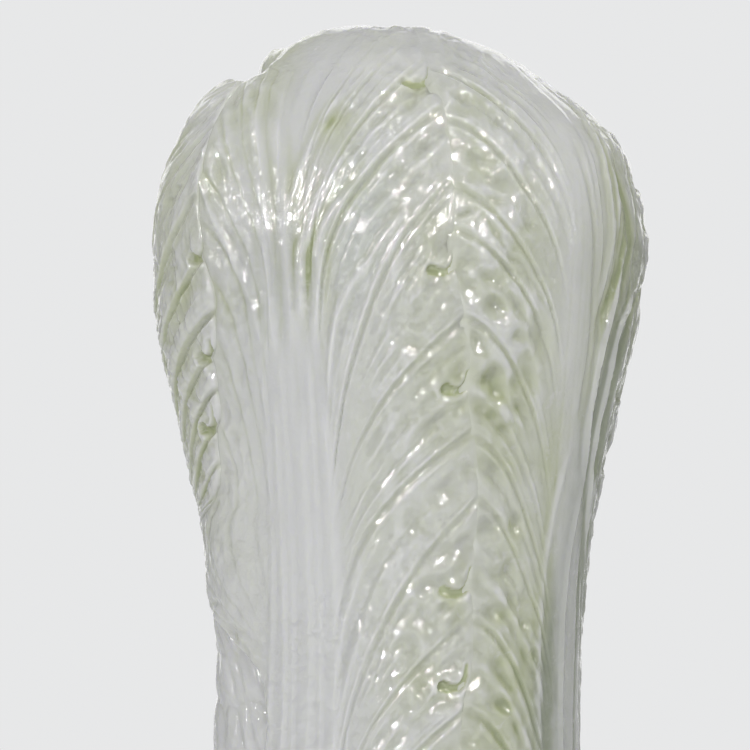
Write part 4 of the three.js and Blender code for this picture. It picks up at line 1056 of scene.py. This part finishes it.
def build_apron(material):
    """The apron ring with a scalloped lower edge, a raised border and carved clouds."""
    outer, inner = STAND_RADIUS - 1.6, STAND_RADIUS - 14.6
    sides, levels = 720, 28
    turn = np.linspace(0, 2 * np.pi, sides, endpoint=False)[None, :]
    drop = np.linspace(0, 1, levels)[:, None]
    scallop = 2.2 * np.abs(np.sin(4 * turn))
    z = APRON_TOP - drop * (APRON_TOP - APRON_BOTTOM - scallop)
    belly = outer - 0.9 + 0.9 * np.sin(np.pi * drop**0.8)
    x, y = (turn * 8 / np.pi) % 2 - 1, drop * 2 - 1.05
    cloud = np.zeros((levels, sides))
    for cx, cy, size in CLOUD_SPIRALS:
        r = np.hypot((x - cx) * 1.5, y - cy)
        spiral = np.cos((r / size * 2.2 + np.arctan2(y - cy, x - cx) / (2 * np.pi)) * 2 * np.pi)
        cloud = np.maximum(cloud, step(1.25 - r / size, 0, 0.25) * (0.55 + 0.45 * spiral))
    border = bell(drop - 0.93, 0.05) + bell(drop - 0.06, 0.045)
    radius = belly + 0.45 * cloud * (1 - border) + 0.3 * border - 0.25
    wall = np.stack([radius * np.sin(turn), -radius * np.cos(turn), z + 0 * turn], -1)
    inward = wall[-1].copy()
    inward[:, :2] *= (inner / np.hypot(inward[:, 0], inward[:, 1]))[:, None]
    top_in = inward.copy()
    top_in[:, 2] = APRON_TOP
    rings = np.vstack([wall, inward[None], top_in[None]])
    ids = np.arange(len(rings) * sides).reshape(len(rings), sides)
    following = np.roll(ids, -1, axis=1)
    below, below_following = np.roll(ids, -1, axis=0), np.roll(following, -1, axis=0)
    faces = np.stack([ids, below, below_following, following], -1).reshape(-1, 4).tolist()
    piece = make_object("carved_stand_apron", rings.reshape(-1, 3), faces)
    piece.data.set_sharp_from_angle(angle=np.radians(CARVED_SHARP_ANGLE))
    dress(piece, "stand_apron", "stand", material)


def build_foot(corner, turn_degrees, material):
    """A scrolled foot: its side outline extruded and rounded at the rim."""
    outer, length, width = STAND_RADIUS - 3.2, 19.0, 13.0
    inner, height, toe = outer - length, APRON_BOTTOM - PAD_HEIGHT, outer + 2.0

    def curve(p0, p1, p2, n=10):
        s = np.linspace(0, 1, n, endpoint=False)[:, None]
        p0, p1, p2 = (np.array(p, float) for p in (p0, p1, p2))
        return ((1 - s) ** 2 * p0 + 2 * s * (1 - s) * p1 + s**2 * p2).tolist()

    a, b, c = (inner, height), (inner + length * 0.35, height * 0.4), (inner + length * 0.6, 0)
    d, e, f = (toe - length * 0.1, 0), (toe, height * 0.34), (toe - length * 0.16, height * 0.6)
    g = (outer, height)
    side = curve(a, (inner + length * 0.3, height * 0.75), b) + curve(b, (inner + length * 0.36, 0), c)
    side += curve(c, ((c[0] + d[0]) / 2, 0), d, 4) + curve(d, (toe + length * 0.06, height * 0.14), e)
    side += curve(e, (toe - length * 0.2, height * 0.42), f) + curve(f, (outer - length * 0.02, height * 0.8), g)
    bm = bmesh.new()
    verts = [bm.verts.new((x * MM, -width / 2 * MM, (z + PAD_HEIGHT) * MM)) for x, z in side + [g]]
    extruded = bmesh.ops.extrude_face_region(bm, geom=[bm.faces.new(verts)])
    moved = [v for v in extruded["geom"] if isinstance(v, bmesh.types.BMVert)]
    bmesh.ops.translate(bm, verts=moved, vec=(0, width * MM, 0))
    bmesh.ops.recalc_face_normals(bm, faces=bm.faces)
    rim = [edge for edge in bm.edges if abs(edge.verts[0].co.y - edge.verts[1].co.y) < 1e-9]
    bmesh.ops.bevel(bm, geom=rim, offset=0.9 * MM, segments=3, profile=0.6, affect="EDGES", clamp_overlap=True)
    bmesh.ops.triangulate(bm, faces=[f for f in bm.faces if len(f.verts) > 4])
    mesh = bpy.data.meshes.new("scroll_foot_" + corner)
    bm.to_mesh(mesh)
    bm.free()
    mesh.transform(Matrix.Rotation(np.radians(turn_degrees), 4, "Z"))
    mesh.shade_smooth()
    mesh.set_sharp_from_angle(angle=np.radians(CARVED_SHARP_ANGLE))
    dress(add_object(mesh.name, mesh), "foot_" + corner, "stand", material)


def build_pad(node, material, flat=1.0):
    """A felt disc with a soft rounded edge and a slightly uneven outline."""
    low, high = (np.array(v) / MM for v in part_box(node))
    centre, radius, thick = (low + high) / 2, (high[0] - low[0]) / 2, high[2] - low[2]
    rng = np.random.default_rng(len(node))
    profile = rounded([(0, 0), (radius, 0), (radius, thick), (0, thick)], thick * 0.35, 5)
    phase = rng.uniform(0, 6, 3)

    def frayed(r, height, turn):
        waves = sum(np.sin(turn * n + p) for n, p in zip((7, 13, 29), phase))
        return -0.08 * (1 + waves / 3) * (r > radius * 0.9), flat

    piece = lathe("felt_" + node, profile, 96, frayed)
    piece.data.transform(Matrix.Translation(Vector((centre[0], centre[1], low[2])) * MM))
    dress(piece, node, "stand", material)


# ---------------------------------------------------------------- materials
class Nodes:
    """Short calls for building a material's node tree."""

    def __init__(self, name):
        self.material = bpy.data.materials.new(name)
        self.material.use_nodes = True
        self.tree = self.material.node_tree
        self.tree.nodes.clear()
        self.shader = self.add("ShaderNodeBsdfPrincipled")
        self.out = self.add("ShaderNodeOutputMaterial")
        self.link(self.shader.outputs["BSDF"], self.out.inputs["Surface"])

    def add(self, kind, **settings):
        node = self.tree.nodes.new(kind)
        for key, value in settings.items():
            setattr(node, key, value)
        return node

    def link(self, source, target):
        self.tree.links.new(source, target)

    def put(self, socket, value):
        if isinstance(value, bpy.types.NodeSocket):
            self.link(value, socket)
        else:
            socket.default_value = value

    def math(self, operation, a, b=0.0, clamp=False):
        node = self.add("ShaderNodeMath", operation=operation, use_clamp=clamp)
        self.put(node.inputs[0], a)
        self.put(node.inputs[1], b)
        return node.outputs[0]

    def mix(self, factor, a, b):
        node = self.add("ShaderNodeMix", data_type="RGBA")
        self.put(node.inputs["Factor"], factor)
        self.put(node.inputs[6], a)
        self.put(node.inputs[7], b)
        return node.outputs[2]

    def layer(self, under, mask, amount, over):
        """Lays a colour over another one where a mask shows."""
        return self.mix(self.math("MULTIPLY", mask, amount), under, over)

    def attribute(self, name):
        return self.add("ShaderNodeAttribute", attribute_name=name).outputs["Fac"]

    def coordinates(self, scale=(1, 1, 1)):
        place = self.add("ShaderNodeTexCoord").outputs["Object"]
        return self.give(self.add("ShaderNodeMapping"), Vector=place, Scale=scale).outputs[0]

    def noise(self, vector, scale, detail=3.0, rough=0.5, distortion=0.0):
        node = self.give(self.add("ShaderNodeTexNoise"), Vector=vector, Scale=scale, Detail=detail,
                         Roughness=rough, Distortion=distortion)
        return node.outputs["Fac"]

    def band(self, value, low, high):
        node = self.add("ShaderNodeMapRange", interpolation_type="SMOOTHSTEP")
        return self.give(node, Value=value, From_Min=low, From_Max=high).outputs["Result"]

    def bump(self, height, distance, strength):
        node = self.give(self.add("ShaderNodeBump"), Strength=strength, Distance=distance, Height=height)
        return node.outputs["Normal"]

    def give(self, node, **values):
        """Sets or links input sockets by name, with _ for a space."""
        for name, value in values.items():
            self.put(node.inputs[name.replace("_", " ")], value)
        return node

    def set(self, **values):
        self.give(self.shader, **values)


WHITE = (0.56, 0.565, 0.565, 1)
PALE = (0.53, 0.547, 0.462, 1)
GREEN = (0.42, 0.45, 0.27, 1)
# A deep olive for the densest olive and for the painted shade in the drilled curls.
DEEP_OLIVE_AND_HOLE_SHADE = (0.29, 0.335, 0.14, 1)
COLD_BLUE = (0.40, 0.47, 0.41, 1)
# A milky white, for the stone's milky clouds and for the painted light on the heart's crown.
MILK_AND_PAINTED_LIGHT = (0.655, 0.66, 0.648, 1)
# A dark grey-green for the painted shade on the head's sides.
SIDE_SHADE = (0.235, 0.262, 0.19, 1)
# A light grey-white for the painted light on the raised crests.
LIT_CREST_WHITE = (0.60, 0.605, 0.60, 1)
COTTON = (0.63, 0.63, 0.615, 1)


def jade_material():
    """Polished nephrite: white stalks, pale blades, olive and painted shade in the hollows, painted light on the
    crests, painted shade on the sides.
    """
    n = Nodes("polished_nephrite")
    place, stretched = n.coordinates(), n.coordinates(scale=(1, 1, 0.35))
    stem, olive = n.attribute("stem"), n.attribute("olive")
    off_stem = n.math("SUBTRACT", 1.0, stem)
    broad = n.band(n.noise(stretched, 15, 2, 0.5, 0.2), 0.25, 0.6)
    colour = n.layer(WHITE, off_stem, broad, PALE)
    streak = n.math("MULTIPLY", n.band(n.noise(place, 30, 3, 0.55, 0.4), 0.55, 0.75), off_stem)
    colour = n.layer(colour, streak, 0.4, GREEN)
    cold = n.band(n.noise(stretched, 24, 2), 0.62, 0.75)
    colour = n.layer(colour, n.math("MULTIPLY", cold, 0.2), off_stem, COLD_BLUE)
    # Milky white: the stone's milky clouds, and painted light over the heart's crown.
    colour = n.layer(colour, n.attribute("milk_and_painted_light"), 0.9, MILK_AND_PAINTED_LIGHT)
    # Olive over the hollows, grooves, curls and creases: partly the stone's olive, partly painted shade in the low
    # parts.
    tint = n.math("MULTIPLY", olive, n.math("SUBTRACT", 1.0, n.math("MULTIPLY", stem, 0.8)), clamp=True)
    colour = n.layer(colour, tint, 0.85, GREEN)
    # Deep olive where the olive is densest, above all in the drilled curls: painted shade in the holes.
    colour = n.layer(colour, n.band(olive, 0.8, 1.25), 0.75, DEEP_OLIVE_AND_HOLE_SHADE)
    # Painted shade: the sides that turn away from the lamps are darkened to grey-green.
    colour = n.layer(colour, n.attribute("painted_side_shade"), 0.85, SIDE_SHADE)
    # Painted light: the raised crests are whitened as if lit.
    colour = n.layer(colour, n.band(n.attribute("raised"), 0.08, 0.5), 0.65, LIT_CREST_WHITE)
    cotton = n.band(n.noise(place, 210, 4, 0.6, 0.6), 0.6, 0.75)
    colour = n.layer(colour, cotton, 0.45, COTTON)
    rough = n.math("ADD", 0.2, n.math("MULTIPLY", n.noise(place, 120), 0.1))
    fine = n.math("ADD", n.noise(place, 700, 2), n.math("MULTIPLY", n.noise(place, 260, 2), 0.8))
    uneven = n.bump(fine, 0.00024, 0.5)
    glow = n.math("MULTIPLY", n.math("SUBTRACT", 1.0, n.attribute("overlap")), 0.95, clamp=True)
    n.set(Base_Color=colour, Roughness=rough, Normal=uneven, Coat_Normal=uneven, IOR=1.61,
          Specular_IOR_Level=0.2, Subsurface_Weight=glow, Subsurface_Radius=(1.0, 1.05, 0.75),
          Subsurface_Scale=0.005, Coat_Weight=1.0, Coat_Roughness=0.02, Coat_IOR=2.2)
    return n.material


def rosewood_material():
    """Dark rosewood with fine rings and pores under a rubbed satin polish."""
    n = Nodes("rubbed_rosewood")
    rings = n.noise(n.coordinates(scale=(1, 0.12, 1)), 160, 5, 0.6, 1.2)
    pores = n.noise(n.coordinates(scale=(1, 0.06, 1)), 1500, 2)
    wear = n.band(n.noise(n.coordinates(), 70), 0.55, 0.75)
    colour = n.mix(n.band(rings, 0.35, 0.65), (0.028, 0.009, 0.006, 1), (0.115, 0.038, 0.02, 1))
    colour = n.layer(colour, n.band(pores, 0.58, 0.68), 0.7, (0.012, 0.005, 0.004, 1))
    colour = n.layer(colour, wear, 0.25, (0.16, 0.06, 0.035, 1))
    open_grain = n.math("SUBTRACT", rings, n.math("MULTIPLY", pores, 0.6))
    n.set(Base_Color=colour, Roughness=n.math("ADD", 0.3, n.math("MULTIPLY", rings, 0.18)),
          Normal=n.bump(open_grain, 0.0001, 0.6), IOR=1.5, Coat_Weight=0.25, Coat_Roughness=0.2)
    return n.material


def felt_material():
    """Dark wool felt with fine fibres."""
    n = Nodes("dark_wool_felt")
    fibres = n.noise(n.coordinates(), 2600, 4, 0.7, 1.5)
    n.set(Base_Color=n.mix(fibres, (0.018, 0.015, 0.015, 1), (0.06, 0.05, 0.047, 1)), Roughness=0.95,
          Normal=n.bump(fibres, 0.0003, 0.8), Sheen_Weight=0.5, Sheen_Roughness=0.5)
    return n.material


# ---------------------------------------------------------------- camera, light, floor
PHOTO_PIXELS = 750
MM_PER_PIXEL = 0.24
AXIS_PIXEL_X = 397
CROWN_PIXEL_Y = 30
CAMERA_DISTANCE = 900
OBJECT_HEIGHT = 286
SENSOR = 36
WORLD_LIGHT = 0.36
FLOOR_LIGHT = 0.36
FLOOR_HALF_MM = 12000
FLOOR_FADE = (0.3, 0.9)  # metres from the axis
BACKGROUND = (0.80, 0.805, 0.81, 1)
LIGHT_TARGET = (0, 0, 190)
# Name, place in mm, width and height in mm, and watts. All aim at LIGHT_TARGET.
LAMPS = [
    ("key_strip", (-330, -1150, 560), 10, 320, 2.7),
    ("second_strip", (-580, -1030, 600), 8, 320, 0.55),
    ("shoulder_strip", (-800, -880, 460), 8, 320, 1.1),
    ("left_strip", (-950, -250, 380), 10, 420, 0.35),
    ("right_strip", (330, -1150, 480), 9, 280, 0.7),
    ("fill_strip", (620, -1050, 480), 10, 280, 1.3),
    ("side_strip", (900, -300, 420), 12, 420, 0.08),
    ("low_softbox", (-120, -1200, 60), 16, 16, 0.1),
    ("high_softbox", (180, -700, 1150), 16, 16, 3.4),
    ("high_left_softbox", (-1150, 120, 760), 16, 16, 1.9),
    ("high_right_softbox", (850, -500, 900), 12, 12, 1.1),
    ("back_softbox", (0, 1500, 420), 1500, 1500, 5.0),
]


def add_camera():
    """The photograph's level, front view of the carving's upper part."""
    data = bpy.data.cameras.new("camera")
    data.sensor_width = SENSOR
    data.lens = SENSOR * CAMERA_DISTANCE / (PHOTO_PIXELS * MM_PER_PIXEL)
    camera = add_object("camera", data)
    x = (PHOTO_PIXELS / 2 - AXIS_PIXEL_X) * MM_PER_PIXEL
    z = OBJECT_HEIGHT - (PHOTO_PIXELS / 2 - CROWN_PIXEL_Y) * MM_PER_PIXEL
    camera.location = Vector((x, -CAMERA_DISTANCE, z)) * MM
    camera.rotation_euler = (np.radians(90), 0, 0)
    bpy.context.scene.camera = camera


def add_lamp(name, place_mm, width_mm, height_mm, watts):
    """One area lamp that the camera doesn't see."""
    data = bpy.data.lights.new(name, "AREA")
    data.shape = "RECTANGLE"
    data.size, data.size_y = width_mm * MM, height_mm * MM
    data.energy = watts
    lamp = add_object(name, data)
    lamp.location = Vector(place_mm) * MM
    aim = (Vector(LIGHT_TARGET) - Vector(place_mm)).normalized()
    lamp.rotation_euler = aim.to_track_quat("-Z", "Y").to_euler()
    lamp.visible_camera = False


def add_light():
    """The lamps, and a world that gives soft light and shows the plain background."""
    for lamp in LAMPS:
        add_lamp(*lamp)
    world = bpy.data.worlds.new("studio")
    world.use_nodes = True
    tree = world.node_tree
    tree.nodes.clear()
    out = tree.nodes.new("ShaderNodeOutputWorld")
    soft, seen, mix = (tree.nodes.new(kind) for kind in
                       ("ShaderNodeBackground", "ShaderNodeBackground", "ShaderNodeMixShader"))
    path = tree.nodes.new("ShaderNodeLightPath")
    soft.inputs["Color"].default_value = (1, 1, 1, 1)
    soft.inputs["Strength"].default_value = WORLD_LIGHT
    seen.inputs["Color"].default_value = BACKGROUND
    seen.inputs["Strength"].default_value = 1.0
    tree.links.new(path.outputs["Is Camera Ray"], mix.inputs[0])
    tree.links.new(soft.outputs[0], mix.inputs[1])
    tree.links.new(seen.outputs[0], mix.inputs[2])
    tree.links.new(mix.outputs[0], out.inputs["Surface"])
    bpy.context.scene.world = world


def add_floor():
    """A pale floor that keeps shadows near the object and runs into the background far away."""
    corners = [(x * FLOOR_HALF_MM, y * FLOOR_HALF_MM, 0) for x, y in ((-1, -1), (1, -1), (1, 1), (-1, 1))]
    floor = make_object("studio_floor", corners, [[0, 1, 2, 3]], smooth=False)
    n = Nodes("pale_floor")
    place = n.add("ShaderNodeTexCoord").outputs["Object"]
    length = n.add("ShaderNodeVectorMath", operation="LENGTH")
    n.link(place, length.inputs[0])
    far = n.band(length.outputs["Value"], *FLOOR_FADE)
    glow = n.give(n.add("ShaderNodeEmission"), Color=BACKGROUND)
    path = n.add("ShaderNodeLightPath").outputs["Is Camera Ray"]
    seen = n.add("ShaderNodeMixShader")
    n.link(n.math("MULTIPLY", far, path), seen.inputs[0])
    n.link(n.shader.outputs["BSDF"], seen.inputs[1])
    n.link(glow.outputs[0], seen.inputs[2])
    n.link(seen.outputs[0], n.out.inputs["Surface"])
    n.set(Base_Color=(0.74, 0.745, 0.75, 1), Roughness=0.7, Emission_Color=BACKGROUND,
          Emission_Strength=n.math("MULTIPLY", path, FLOOR_LIGHT))
    floor.data.materials.append(n.material)


# ---------------------------------------------------------------- build
scene = bpy.context.scene
scene.view_settings.view_transform = "Standard"
add_camera()
add_light()
add_floor()

jade, rosewood, felt = jade_material(), rosewood_material(), felt_material()
for leaf in LEAVES:
    build_leaf(leaf, jade)
for number, leaf in enumerate(LEAVES):
    build_inner_leaf(leaf, LEAVES[(number + 1) % len(LEAVES)], 70 + number, jade)
build_heart(jade)
build_root(jade)
build_stand_top(rosewood)
build_apron(rosewood)
for number, corner in enumerate(("front_right", "back_right", "back_left", "front_left")):
    build_foot(corner, 90 * number - 45, rosewood)
    build_pad("foot_pad_" + corner, felt)
build_pad("socket_felt", felt, FLATNESS)
